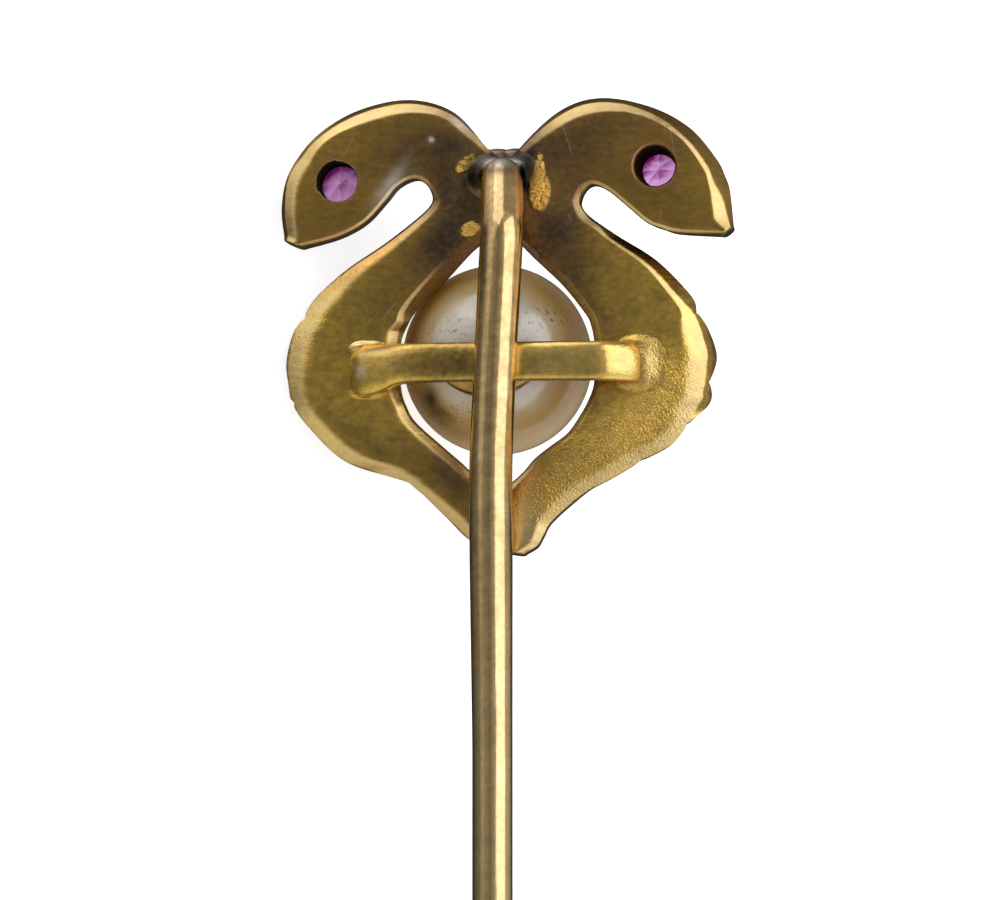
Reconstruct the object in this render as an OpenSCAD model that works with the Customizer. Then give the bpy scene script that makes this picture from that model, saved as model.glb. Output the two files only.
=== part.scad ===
// A gold stick pin: two serpents back to back round a pearl, on a plain wire stem.
// It lies face down, as it rests by itself, on the pearl, the left serpent and the point.
// Everything is drawn first in the head's own frame: x to the right seen from the back,
// y up towards the heads, z out of the back. The last module lays that frame on the surface.

/* [Serpents] */
// Thickness of the serpents, from the back to the crown of the front
body_t = 1.7; // [1.5:0.1:1.9]
// Depth below the back at which the side walls are widest
wall_z = 0.7; // [0.6:0.05:0.8]
// Drop of the bevel that runs round the back
bevel_drop = 0.28; // [0.2:0.02:0.34]

/* [Pearl] */
// Diameter of the pearl
pearl_d = 4.45; // [4.2:0.05:4.5]
// Diameter of the peg that the pearl is glued on
peg_d = 0.5; // [0.4:0.05:0.6]

/* [Eyes] */
// Diameter of an eye stone across its girdle
stone_d = 1.24; // [1.16:0.02:1.3]
// Diameter of the sight hole behind an eye stone
sight_d = 0.98; // [0.9:0.02:1]

/* [Strap] */
// Width of the strap that carries the pearl
strap_w = 0.92; // [0.8:0.02:1.1]
// Thickness of the strap
strap_t = 0.35; // [0.3:0.01:0.4]
// Height of the strap's outer face above the back
strap_z = 0.75; // [0.65:0.05:0.85]

/* [Stem] */
// Diameter of the stem wire
stem_d = 1.0; // [0.9:0.05:1.1]
// Length of the whole pin, from the top of the heads to the point
pin_len = 64; // [56:1:72]
// Length of the ground point
point_len = 9; // [6:0.5:12]

/* [Hidden] */

// Clearance between a piece and its seat.
gap = 0.03;
// Height of the top of the heads above the frame's zero.
head_top = 6.15;

// One row for each rib that crosses a serpent, from the snout over the head and neck to the tail.
// x counts outward from the middle of the pin. Side a runs over the crown, down the middle and
// round the pearl; side b runs along the jaw, round the slot and down the outside of the body.
// Rows marked as a notch are where two lobes of the front relief meet on the outline.
//   [ax, ay,  bx, by,  bevel a, bevel b,  thickness as a share of body_t]
RIGHT_RIBS = [
    [5.34, 3.12,  5.02, 2.86,  0.14, 0.08,  0.60],
    [5.26, 3.90,  4.05, 2.93,  0.30, 0.12,  0.76],
    [4.93, 4.70,  3.33, 3.18,  0.36, 0.14,  0.88],
    [4.32, 5.42,  2.87, 3.57,  0.38, 0.14,  0.92],
    [3.41, 5.92,  2.45, 3.92,  0.36, 0.14,  0.92],
    [2.24, 6.15,  2.10, 4.08,  0.34, 0.12,  0.90],
    [1.29, 5.87,  1.90, 4.00,  0.28, 0.12,  0.88],
    [0.38, 5.03,  1.80, 3.80,  0.10, 0.12,  0.86],
    [-0.10, 4.26,  1.80, 3.63,  0.06, 0.12,  0.84],
    [-0.05, 3.25,  2.00, 3.35,  0.06, 0.14,  0.84],
    [0.56, 2.52,  2.64, 2.90,  0.14, 0.18,  0.88],
    [1.35, 1.75,  3.55, 2.31,  0.16, 0.26,  0.95],
    [1.90, 1.05,  4.34, 1.49,  0.16, 0.36,  0.98],
    [2.02, 0.78,  4.50, 1.10,  0.16, 0.40,  0.96], // notch
    [2.08, 0.50,  4.73, 0.72,  0.16, 0.44,  1.00],
    [2.12, 0.05,  4.93, 0.08,  0.16, 0.48,  1.00],
    [2.08, -0.58,  4.80, -0.52,  0.14, 0.46,  0.96], // notch
    [1.95, -0.96,  4.78, -1.00,  0.12, 0.46,  0.98],
    [1.75, -1.32,  4.31, -1.52,  0.12, 0.42,  0.93], // notch
    [1.47, -1.71,  3.90, -2.00,  0.12, 0.44,  0.94],
    [1.07, -2.01,  3.24, -2.36,  0.12, 0.42,  0.88], // notch
    [0.70, -2.30,  2.55, -2.77,  0.12, 0.42,  0.87],
    [0.42, -2.62,  1.89, -3.09,  0.12, 0.42,  0.83],
    [-0.12, -3.15,  1.03, -3.69,  0.12, 0.36,  0.76],
    [-0.25, -3.75,  0.75, -4.10,  0.12, 0.26,  0.68],
    [-0.10, -4.38,  0.50, -4.46,  0.08, 0.10,  0.52],
];
LEFT_RIBS = [
    [5.20, 2.95,  4.70, 2.74,  0.14, 0.10,  0.60],
    [5.27, 3.70,  3.89, 2.96,  0.26, 0.12,  0.76],
    [5.08, 4.52,  3.27, 3.29,  0.32, 0.14,  0.88],
    [4.49, 5.32,  2.80, 3.78,  0.36, 0.14,  0.92],
    [3.51, 5.94,  2.52, 4.11,  0.38, 0.14,  0.92],
    [2.30, 6.18,  2.15, 4.28,  0.36, 0.12,  0.90],
    [1.24, 5.88,  1.86, 4.17,  0.26, 0.12,  0.88],
    [0.47, 5.06,  1.71, 3.91,  0.10, 0.12,  0.86],
    [-0.10, 4.30,  1.74, 3.70,  0.06, 0.12,  0.84],
    [0.05, 3.29,  2.02, 3.41,  0.18, 0.14,  0.84],
    [0.82, 2.60,  2.80, 2.81,  0.26, 0.18,  0.88],
    [1.55, 1.80,  3.75, 2.18,  0.28, 0.26,  0.95],
    [2.10, 1.20,  4.48, 1.54,  0.28, 0.38,  0.98],
    [2.30, 0.88,  4.76, 1.08,  0.28, 0.40,  0.96], // notch
    [2.44, 0.58,  5.01, 0.70,  0.26, 0.44,  1.00],
    [2.52, 0.10,  5.16, 0.05,  0.24, 0.46,  1.00],
    [2.46, -0.60,  5.10, -0.49,  0.22, 0.44,  0.99],
    [2.33, -1.00,  5.01, -0.91,  0.20, 0.40,  0.95], // notch
    [2.10, -1.40,  4.66, -1.44,  0.20, 0.42,  0.98],
    [1.42, -2.02,  3.74, -2.31,  0.20, 0.44,  0.92],
    [0.88, -2.50,  2.30, -2.84,  0.18, 0.44,  0.82], // notch
    [0.30, -3.15,  1.46, -3.57,  0.14, 0.36,  0.76],
    [-0.05, -3.70,  0.89, -4.14,  0.12, 0.26,  0.68],
    [-0.10, -4.15,  0.40, -4.35,  0.10, 0.12,  0.52],
];
RIBS_PER_ROW = 2;
DOME_STEPS = 5;
most_bevel = 0.3; // largest share of a rib's width that one bevel may take
// The rounded bevel, from the wall up: share of its width, share of bevel_drop.
BEVEL = [[0.03, 1.00], [0.20, 0.45], [0.55, 0.10], [1.00, 0]];
// The left serpent sits a hair deeper, so that the two backs don't share a plane.
left_drop = 0.04;

// The eyes: place, counted outward like the ribs, and the depth of the ledge the stone rests on.
//   [x, y, ledge]
RIGHT_EYE = [3.53, 4.50, -1.10];
LEFT_EYE = [3.93, 4.25, -0.85];
setting_r = stone_d / 2 + gap;
collar_w = 0.17;
collar_z = -1.72;
well_h = 2; // length of the cutters for the sight hole and the stone's well
facets = 8;
table_share = 0.55;
pavilion_angle = 40;
crown_h = 0.25;
girdle_h = 0.06;

pearl_r = pearl_d / 2;
PEARL = [-0.38, 0.21, -1.90];
peg_z = -0.90; // depth of the peg's end inside the pearl
peg_gap = 0.05;
// The seat is the lower part of a shallow round dish, cut off under the strap.
SEAT = [-0.37, 0.62];
seat_r = 1.50;
seat_sink = 0.05;

strap_y = -0.10;
strap_bevel = 0.12;
foot_sink = 0.12;
strap_under = strap_z - strap_t;
// The strap seen from below: x, z. It starts at the left foot's outer end and runs over the top.
STRAP_SIDE = [
    [-3.62, -foot_sink],
    [-3.62, 0.06],
    [-3.30, 0.26],
    [-2.72, strap_z],
    [2.48, strap_z],
    [3.12, 0.30],
    [3.55, 0.14],
    [3.55, -foot_sink],
    [2.85, -foot_sink],
    [2.30, strap_under],
    [-2.50, strap_under],
    [-2.95, -foot_sink],
];
strap_span = 9; // longer than the strap, for the profile that bevels its edges

// The wire, from the point up: a straight run, then a bent top soldered to the necks.
stem_r = stem_d / 2;
stem_x = -0.16;
stem_sink = 0.08;
stem_z = strap_z + stem_r - stem_sink;
tip_r = 0.06;
tip_y = head_top - pin_len + tip_r;
point_y = tip_y + point_len;
bent_y = -2.6; // end of the straight run
bent_overlap = 0.3; // the bent top starts this far inside the straight run
bent_inset = 0.004; // and is this much thinner there
sway = 2.9; // to the right, on the way up to the bend
lean = 32; // down into the solder, at the end
WIRE_SIDES = 32;
// Each step of the bent top: its length, and the sway to the right and the lean at its end.
BENT_STEPS = [
    [bent_overlap, 0, 0],
    [0.80, 0.80 * sway, 0],
    [2.50, sway, 0],
    [2.20, sway, 0.03 * lean],
    [0.12, 0.5 * sway, 0.25 * lean],
    [0.12, 0, 0.50 * lean],
    [0.12, -0.7 * sway, 0.75 * lean],
    [0.14, -1.4 * sway, lean],
    [0.92, -1.4 * sway, lean],
];

// Mounds of solder: beside, over and under the end of the stem, and at the strap's two feet.
//   [x, y, radius at the back, radius at the top, height]
SOLDER = [
    [-0.42, 4.26, 0.52, 0.36, 0.48],
    [0.46, 4.24, 0.55, 0.34, 0.54],
    [0.48, 3.98, 0.44, 0.30, 0.44],
    [0.01, 4.40, 0.48, 0.32, 0.72],
    [0.02, 3.95, 0.42, 0.34, 0.60],
    [-3.24, -0.12, 0.66, 0.44, 0.22],
    [3.28, -0.12, 0.55, 0.40, 0.20],
];
solder_sink = 0.2;
solder_foot = 0.08; // how much wider a mound is where it starts, below the back

// A row of a table at a fractional position, by a smooth curve through the rows.
function row_at(rows, t) =
    let (
        last = len(rows) - 1,
        i = min(floor(t), last - 1),
        f = t - i,
        p0 = rows[max(i - 1, 0)],
        p1 = rows[i],
        p2 = rows[i + 1],
        p3 = rows[min(i + 2, last)]
    )
    0.5 * (2 * p1 + (p2 - p0) * f + (2 * p0 - 5 * p1 + 4 * p2 - p3) * f * f
        + (3 * p1 - p0 - 3 * p2 + p3) * f * f * f);

// The outline of one rib: wall, bevel, flat back, bevel, wall, then the dome of the front.
function rib_outline(width, bevel_a, bevel_b, thick) =
    let (a = min(bevel_a, most_bevel * width), b = min(bevel_b, most_bevel * width))
    concat(
        [for (s = BEVEL) [s[0] * a, -s[1] * bevel_drop]],
        [for (k = [len(BEVEL) - 1 : -1 : 0]) [width - BEVEL[k][0] * b, -BEVEL[k][1] * bevel_drop]],
        [[width, -wall_z]],
        [
            for (k = [1 : DOME_STEPS])
                let (turn = 180 * k / (DOME_STEPS + 1))
                [width / 2 * (1 + cos(turn)), -wall_z - (thick - wall_z) * sin(turn)]
        ],
        [[0, -wall_z]]
    );

function rib_points(row) =
    let (
        a = [row[0], row[1], 0],
        b = [row[2], row[3], 0],
        width = norm(b - a),
        across = (b - a) / width
    )
    [
        for (p = rib_outline(width, row[4], row[5], row[6] * body_t))
            a + across * p[0] + [0, 0, p[1]]
    ];

function serpent_ribs(rows) =
    [for (k = [0 : (len(rows) - 1) * RIBS_PER_ROW]) rib_points(row_at(rows, k / RIBS_PER_ROW))];

function flat_list(lists) = [for (items = lists) for (item = items) item];

// A closed skin over a row of ribs that all have the same number of points.
module skin(ribs) {
    n = len(ribs[0]);
    last = len(ribs) - 1;
    sides = [
        for (i = [0 : last - 1])
            for (j = [0 : n - 1])
                let (k = (j + 1) % n)
                for (f = [
                    [i * n + j, (i + 1) * n + k, (i + 1) * n + j],
                    [i * n + j, i * n + k, (i + 1) * n + k],
                ]) f
    ];
    ends = [
        [for (j = [n - 1 : -1 : 0]) j],
        [for (j = [0 : n - 1]) last * n + j],
    ];
    polyhedron(points = flat_list(ribs), faces = concat(sides, ends));
}

// One serpent, outward side to the right, with its open-backed eye setting.
module serpent(rows, eye) {
    difference() {
        union() {
            skin(serpent_ribs(rows));
            translate([eye[0], eye[1], collar_z])
                cylinder(r = setting_r + collar_w, h = -collar_z - wall_z, $fn = 48);
        }
        translate([eye[0], eye[1], eye[2] - gap])
            cylinder(d = sight_d, h = well_h, $fn = 48);
        translate([eye[0], eye[1], eye[2] - well_h])
            cylinder(r = setting_r, h = well_h, $fn = 48);
    }
}

// The strap: a bridge with two spread feet, its long edges bevelled.
module strap() {
    half = strap_w / 2;
    translate([0, strap_y, 0])
        intersection() {
            rotate([90, 0, 0])
                linear_extrude(height = strap_w, center = true)
                    polygon(STRAP_SIDE);
            rotate([90, 0, 90])
                linear_extrude(height = strap_span, center = true)
                    polygon([
                        [-half, -strap_z],
                        [-half, strap_z - strap_bevel],
                        [-half + strap_bevel, strap_z],
                        [-half + strap_bevel, 2 * strap_z],
                        [half - strap_bevel, 2 * strap_z],
                        [half - strap_bevel, strap_z],
                        [half, strap_z - strap_bevel],
                        [half, -strap_z],
                    ]);
        }
}

// The room that the gold leaves for the pearl.
module pearl_room() {
    translate(PEARL)
        sphere(r = pearl_r + gap, $fn = 96);
}

// The dished seat under the strap, hollowed to the pearl, and the peg that goes into it.
module pearl_seat() {
    seat_top = strap_under + seat_sink;
    seat_end = strap_y + strap_w / 2 - seat_sink;
    difference() {
        intersection() {
            translate([SEAT[0], SEAT[1], 0])
                cylinder(r = seat_r, h = seat_top, $fn = 64);
            translate([SEAT[0] - seat_r, seat_end - 2 * seat_r, 0])
                cube([2 * seat_r, 2 * seat_r, seat_top]);
        }
        pearl_room();
    }
    translate([PEARL[0], PEARL[1], peg_z])
        cylinder(d = peg_d, h = strap_z - strap_t / 2 - peg_z, $fn = 32);
}

// The way the bent wire heads, and where its ring number i sits.
function heading(side, down) = [sin(side) * cos(down), cos(side) * cos(down), -sin(down)];
function bent_angles(i) = i == 0 ? [0, 0] : [BENT_STEPS[i - 1][1], BENT_STEPS[i - 1][2]];
function bent_at(i) =
    i == 0 ? [stem_x, bent_y - bent_overlap, stem_z]
    : let (mean = (bent_angles(i - 1) + bent_angles(i)) / 2)
        bent_at(i - 1) + BENT_STEPS[i - 1][0] * heading(mean[0], mean[1]);

// A ring of points round the wire. The lowest ring is a hair thinner, so that it starts inside.
function bent_ring(i) =
    let (
        angles = bent_angles(i),
        ahead = heading(angles[0], angles[1]),
        across = cross(ahead, [0, 0, 1]) / norm(cross(ahead, [0, 0, 1])),
        out = cross(across, ahead),
        r = i < 2 ? stem_r - bent_inset : stem_r
    )
    [
        for (k = [0 : WIRE_SIDES - 1])
            let (turn = 360 * k / WIRE_SIDES)
            bent_at(i) + r * (cos(turn) * across + sin(turn) * out)
    ];

// The wire: the rounded point, the long straight run and the bent top.
module stem() {
    translate([stem_x, tip_y, stem_z])
        sphere(r = tip_r, $fn = 32);
    translate([stem_x, tip_y, stem_z])
        rotate([-90, 0, 0])
            cylinder(r1 = tip_r, r2 = stem_r, h = point_len, $fn = 64);
    translate([stem_x, point_y, stem_z])
        rotate([-90, 0, 0])
            cylinder(r = stem_r, h = bent_y - point_y, $fn = 64);
    skin([for (i = [0 : len(BENT_STEPS)]) bent_ring(i)]);
}

module solder() {
    for (s = SOLDER)
        translate([s[0], s[1], -solder_sink])
            cylinder(r1 = s[2] + solder_foot, r2 = s[3], h = s[4] + solder_sink, $fn = 48);
}

// A round stone in single cut, table towards the front, with its culet towards the sight hole.
module eye_stone(eye) {
    r = stone_d / 2;
    culet_z = r * tan(pavilion_angle);
    girdle_z = eye[2] - (r - sight_d / 2 + gap) * tan(pavilion_angle);
    // The table's rim, and the lower and upper rims of the girdle: radius, z.
    rims = [[table_share * r, -girdle_h - crown_h], [r, -girdle_h], [r, 0]];
    corners = [
        for (rim = rims)
            for (k = [0 : facets - 1])
                let (turn = 360 * k / facets)
                [rim[0] * cos(turn), rim[0] * sin(turn), rim[1]]
    ];
    table = [[for (k = [0 : facets - 1]) k]];
    walls = [
        for (i = [0 : 1])
            for (k = [0 : facets - 1])
                let (m = (k + 1) % facets)
                [i * facets + k, (i + 1) * facets + k, (i + 1) * facets + m, i * facets + m]
    ];
    pavilion = [
        for (k = [0 : facets - 1])
            [2 * facets + k, len(corners), 2 * facets + (k + 1) % facets]
    ];
    translate([eye[0], eye[1], girdle_z])
        polyhedron(
            points = concat(corners, [[0, 0, culet_z]]),
            faces = concat(table, walls, pavilion)
        );
}

// How the pin rests. The surface touches the pearl, the rounded point and one vertex of the left
// serpent. n is the surface's normal in the head's frame: n . (PEARL - tip) = pearl_r - tip_r and
// n . (PEARL - vertex) = pearl_r, with n a unit vector that points out of the back.
TIP = [stem_x, tip_y, stem_z];
function rest_normal(vertex) =
    let (
        a = PEARL - TIP,
        b = PEARL - vertex,
        aa = a * a,
        ab = a * b,
        bb = b * b,
        det = aa * bb - ab * ab,
        p = ((pearl_r - tip_r) * bb - pearl_r * ab) / det,
        q = (pearl_r * aa - (pearl_r - tip_r) * ab) / det,
        flat = p * a + q * b,
        normal = cross(a, b),
        rest = sqrt(max(0, 1 - flat * flat)) / norm(normal)
    )
    flat + rest * normal * (normal[2] > 0 ? 1 : -1);

function mirrored(points) = [for (p = points) [-p[0], p[1], p[2]]];
LEFT_POINTS = [for (p = mirrored(flat_list(serpent_ribs(LEFT_RIBS)))) p - [0, 0, left_drop]];
RIGHT_POINTS = flat_list(serpent_ribs(RIGHT_RIBS));

// Rolling from the pearl towards the left, the vertex that tilts the pin least touches first.
NORMALS = [for (p = LEFT_POINTS) if (p[2] < -wall_z / 2) rest_normal(p)];
least = max([for (n = NORMALS) n[2]]);
UP = [for (n = NORMALS) if (n[2] == least) n][0];
ALONG = let (v = [0, 1, 0] - UP[1] * UP) v / norm(v);
SIDE = cross(ALONG, UP);

function laid(p) = [SIDE * p, ALONG * p, UP * p];
CORNERS = [for (p = concat(LEFT_POINTS, RIGHT_POINTS)) laid(p)];
low_x = min([for (p = CORNERS) p[0]]);
high_x = max([for (p = CORNERS) p[0]]);
high_y = max([for (p = CORNERS) p[1]]);
low_y = laid(TIP)[1] - tip_r;
ground = laid(PEARL)[2] - pearl_r;

module lay_down() {
    multmatrix([
        [SIDE[0], SIDE[1], SIDE[2], -(low_x + high_x) / 2],
        [ALONG[0], ALONG[1], ALONG[2], -(low_y + high_y) / 2],
        [UP[0], UP[1], UP[2], -ground],
        [0, 0, 0, 1],
    ])
        children();
}

module serpent_pin() {
    color("goldenrod")
        lay_down()
            union() {
                serpent(RIGHT_RIBS, RIGHT_EYE);
                difference() {
                    translate([0, 0, -left_drop])
                        mirror([1, 0, 0])
                            serpent(LEFT_RIBS, LEFT_EYE);
                    pearl_room();
                }
                strap();
                pearl_seat();
                solder();
                stem();
            }
}

module pearl() {
    color("ivory")
        lay_down()
            difference() {
                translate(PEARL)
                    sphere(r = pearl_r, $fn = 96);
                translate([PEARL[0], PEARL[1], peg_z - peg_gap])
                    cylinder(r = peg_d / 2 + peg_gap, h = pearl_r, $fn = 32);
            }
}

module left_eye() {
    color("mediumvioletred")
        lay_down()
            translate([0, 0, -left_drop])
                mirror([1, 0, 0])
                    eye_stone(LEFT_EYE);
}

module right_eye() {
    color("mediumvioletred")
        lay_down()
            eye_stone(RIGHT_EYE);
}

serpent_pin();
pearl();
left_eye();
right_eye();
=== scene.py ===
# %% [markdown]
# # The back of a gold stick pin
# Two gold serpents stand back to back round a pearl, on one long wire. The pin lies face down, so what
# shows is the goldsmith's side: plain metal, a strap that carries the pearl, solder and the stem.
# The packed CAD model comes in first, as a fixed frame. Every piece made below is laid onto it.

# %% Load the packed pin
import math
import bpy
import numpy as np
from mathutils import Matrix, Vector, noise
from mathutils.bvhtree import BVHTree


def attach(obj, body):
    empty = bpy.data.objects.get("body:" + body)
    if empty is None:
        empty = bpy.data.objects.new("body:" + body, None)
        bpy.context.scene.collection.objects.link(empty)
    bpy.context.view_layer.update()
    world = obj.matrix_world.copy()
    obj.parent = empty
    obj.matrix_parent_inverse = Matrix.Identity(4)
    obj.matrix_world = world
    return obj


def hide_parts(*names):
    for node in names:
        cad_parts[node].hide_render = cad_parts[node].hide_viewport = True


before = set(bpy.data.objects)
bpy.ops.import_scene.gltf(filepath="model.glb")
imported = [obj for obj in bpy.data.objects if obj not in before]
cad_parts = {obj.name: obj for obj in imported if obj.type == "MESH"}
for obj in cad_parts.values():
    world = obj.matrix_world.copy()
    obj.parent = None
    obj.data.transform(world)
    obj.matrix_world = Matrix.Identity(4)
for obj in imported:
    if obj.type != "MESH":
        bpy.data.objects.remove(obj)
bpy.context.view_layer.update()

# %% [markdown]
# The heads are easiest to shape in their own frame, as a goldsmith holds them: x to the right seen from
# the back, y up towards the heads, z out of the back, in millimetres. The pin rolls over onto its pearl
# when it lies down, so three directions and one place turn that frame into the one it lies in.

# %% From the heads' own frame to where the pin lies
SIDE = (0.804997, 0.0, -0.593279)
ALONG = (-0.0486703, 0.996629, -0.0660387)
UP = (0.59128, 0.0820361, 0.802283)
TURN = np.array([SIDE, ALONG, UP])
HEAD_AT = np.array([-0.353518, 25.7024, 3.9568])


def lay(points):
    return (np.asarray(points) @ TURN.T + HEAD_AT) / 1000


print("middle of the heads, mm:", HEAD_AT)

# %% [markdown]
# Every piece is a skin of points and faces made in the heads' frame. Its faces are turned outward by the
# sign of the volume that they enclose. Then it rides on the pin and replaces the plain solid.

# %% Make a piece from a skin
gold_pieces = []


def outward(points, faces):
    volume = 0
    for face in faces:
        a, b, c = (points[face[k]] for k in (0, 1, 2))
        volume += np.dot(a, np.cross(b, c))
        if len(face) > 3:
            volume += np.dot(a, np.cross(c, points[face[3]]))
    return faces if volume > 0 else [face[::-1] for face in faces]


def add_object(name, data):
    thing = bpy.data.objects.new(name, data)
    bpy.context.scene.collection.objects.link(thing)
    return thing


def add_skin(name, points, faces):
    mesh = bpy.data.meshes.new(name)
    mesh.from_pydata(lay(points).tolist(), [], outward(points, faces))
    return add_object(name, mesh)


def make_piece(name, points, faces, slot="gold", node="serpent_pin"):
    piece = add_skin(name, points, faces)
    piece.data.update()
    piece.data.shade_smooth()
    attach(piece, "root")
    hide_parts(node)
    if slot == "gold":
        gold_pieces.append(piece)
    print(name, len(piece.data.polygons), "faces")
    return piece

# %% [markdown]
# A skin can be modelled by hand, or by a function that lofts a list of rings. A loft keeps the flow
# lines of hand-worked metal, so nearly all the pieces are lofts, closed at both ends.

# %% Loft a skin from rings


def round_turns(sides=64):
    return 2 * np.pi * np.arange(sides) / sides


def loft(rings):
    rings = np.asarray(rings, float)
    count, around = rings.shape[:2]
    i, j = np.meshgrid(np.arange(count - 1), np.arange(around), indexing="ij")
    k = (j + 1) % around
    quads = np.stack([i * around + j, i * around + k, (i + 1) * around + k, (i + 1) * around + j], -1)
    middles = [rings[0].mean(axis=0), rings[-1].mean(axis=0)]
    points = np.vstack([rings.reshape(-1, 3), middles])
    first, last = len(points) - 2, len(points) - 1
    faces = quads.reshape(-1, 4).tolist()
    faces += [[first, (n + 1) % around, n] for n in range(around)]
    top = (count - 1) * around
    faces += [[last, top + n, top + (n + 1) % around] for n in range(around)]
    return points, faces


print("a loft of two squares has", len(loft(np.zeros((2, 4, 3)))[1]), "faces")

# %% [markdown]
# ## The serpents
# Each serpent was cast with a rounded front and filed flat behind. Its shape is a table of ribs that
# cross it from the snout to the tail, with the width of the filed bevel on both of its edges. A curve
# through the rows gives twelve ribs for each row, enough for smooth reflections.

# %% The rib tables, x counted outward from the middle of the pin
#   [ax, ay, bx, by, bevel a, bevel b, thickness, kind of bevel a, of b]
#   A kind is -1 for a soft bevel, 0 for a rolled, 1 for a crisp and 2 for a steep one.
RIGHT_RIBS = [
    [5.34, 3.12, 5.02, 2.86, 0.42, 0.05, 0.6, 0.3, -0.1],
    [5.26, 3.9, 4.05, 2.93, 0.46, 0.07, 0.76, 1.3, -0.1],
    [5.13, 4.3, 3.66, 3.04, 0.42, 0.07, 0.82, 1.9, -0.1],
    [4.93, 4.7, 3.33, 3.18, 0.38, 0.07, 0.88, 2, -0.1],
    [4.32, 5.42, 2.87, 3.57, 0.34, 0.07, 0.92, 2, -0.1],
    [3.41, 5.92, 2.45, 3.92, 0.3, 0.07, 0.92, 1.4, -0.1],
    [2.24, 6.15, 2.1, 4.08, 0.35, 0.08, 0.9, 0.6, -0.1],
    [1.29, 5.87, 1.9, 4, 0.34, 0.1, 0.88, 0.6, -0.1],
    [0.38, 5.03, 1.8, 3.8, 0.16, 0.12, 0.86, 0.3, -0.1],
    [-0.1, 4.26, 1.8, 3.63, 0.06, 0.12, 0.84, -0.1, -0.1],
    [-0.05, 3.25, 2, 3.35, 0.06, 0.14, 0.84, -0.1, -0.1],
    [0.56, 2.52, 2.64, 2.9, 0.14, 0.2, 0.88, -0.1, 2],
    [1.35, 1.75, 3.55, 2.31, 0.16, 0.28, 0.95, 0.5, 2],
    [1.9, 1.05, 4.34, 1.49, 0.16, 0.36, 0.98, 0.5, 1.7],
    [2.02, 0.78, 4.5, 1.1, 0.16, 0.4, 0.96, 0.5, 1.1],
    [2.08, 0.5, 4.73, 0.72, 0.16, 0.46, 1, 0.5, 0.2],
    [2.12, 0.05, 4.93, 0.08, 0.16, 0.5, 1, 0.5, 0.1],
    [2.08, -0.58, 4.8, -0.52, 0.14, 0.48, 0.96, 0.5, 0.1],
    [1.95, -0.96, 4.78, -1, 0.12, 0.46, 0.98, 0.5, 0.2],
    [1.75, -1.32, 4.31, -1.52, 0.12, 0.32, 0.93, 0.5, -1],
    [1.47, -1.71, 3.9, -2, 0.12, 0.27, 0.94, 0.5, -1],
    [1.07, -2.01, 3.24, -2.36, 0.12, 0.26, 0.88, 0.5, -1],
    [0.7, -2.3, 2.55, -2.77, 0.12, 0.25, 0.87, 0.5, -1],
    [0.42, -2.62, 1.89, -3.09, 0.12, 0.24, 0.83, 0.5, -1],
    [-0.12, -3.15, 1.12, -3.74, 0.12, 0.22, 0.76, -0.1, -1],
    [-0.25, -3.75, 0.9, -4.11, 0.12, 0.17, 0.68, -1, -1],
    [-0.2, -4.15, 0.76, -4.34, 0.1, 0.14, 0.6, -1, -1],
    [-0.1, -4.4, 0.5, -4.5, 0.08, 0.1, 0.5, -1, -1],
]
LEFT_RIBS = [
    [5.2, 2.95, 4.7, 2.74, 0.28, 0.06, 0.6, -0.1, -0.1],
    [5.27, 3.7, 3.89, 2.96, 0.28, 0.07, 0.76, -0.1, -0.1],
    [5.08, 4.52, 3.27, 3.29, 0.28, 0.07, 0.88, -0.6, -0.1],
    [4.49, 5.32, 2.8, 3.78, 0.28, 0.07, 0.92, 0.8, -0.1],
    [3.51, 5.94, 2.52, 4.11, 0.34, 0.07, 0.92, 0.5, -0.1],
    [2.3, 6.18, 2.15, 4.28, 0.32, 0.08, 0.9, 0.6, -0.1],
    [1.24, 5.88, 1.86, 4.17, 0.24, 0.08, 0.88, 0.8, -0.1],
    [0.47, 5.06, 1.71, 3.91, 0.1, 0.08, 0.86, -1, -0.1],
    [-0.1, 4.3, 1.74, 3.7, 0.06, 0.12, 0.84, -0.1, -0.1],
    [0.05, 3.29, 2.02, 3.41, 0.2, 0.14, 0.84, 2, -0.1],
    [0.82, 2.6, 2.8, 2.81, 0.28, 0.18, 0.88, 2, -0.4],
    [1.55, 1.8, 3.75, 2.18, 0.32, 0.26, 0.95, 2, -0.7],
    [2.1, 1.2, 4.48, 1.54, 0.3, 0.38, 0.98, 1.7, -1],
    [2.3, 0.88, 4.76, 1.08, 0.26, 0.4, 0.96, 0.8, -1],
    [2.44, 0.58, 5.01, 0.7, 0.26, 0.44, 1, -0.4, -0.9],
    [2.52, 0.1, 5.16, 0.05, 0.24, 0.46, 1, -0.4, -0.9],
    [2.46, -0.6, 5.1, -0.49, 0.22, 0.36, 0.99, -0.4, -0.9],
    [2.33, -1, 5.01, -0.91, 0.2, 0.3, 0.95, -0.4, -1],
    [2.1, -1.4, 4.66, -1.44, 0.2, 0.27, 0.98, -0.4, -1],
    [1.42, -2.02, 3.74, -2.31, 0.2, 0.26, 0.92, -0.4, -1],
    [0.88, -2.5, 2.3, -2.84, 0.18, 0.26, 0.82, -0.4, -1],
    [0.3, -3.15, 1.46, -3.57, 0.14, 0.24, 0.76, -0.4, -1],
    [-0.05, -3.7, 0.89, -4.14, 0.12, 0.2, 0.68, -0.4, -1],
    [-0.1, -4.15, 0.4, -4.35, 0.1, 0.12, 0.52, -0.4, -1],
]
RIGHT_NOTCHES = (14, 17, 19, 21)
LEFT_NOTCHES = (13, 17, 20)
print("rows:", len(RIGHT_RIBS), "right and", len(LEFT_RIBS), "left")

# %% [markdown]
# The rows alone would give a coarse, cornered body. A spline goes through every row, so the shape stays
# where it was drawn and only the stretches between the rows become smooth.

# %% A smooth curve through the rows
PER_ROW = 12


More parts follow.
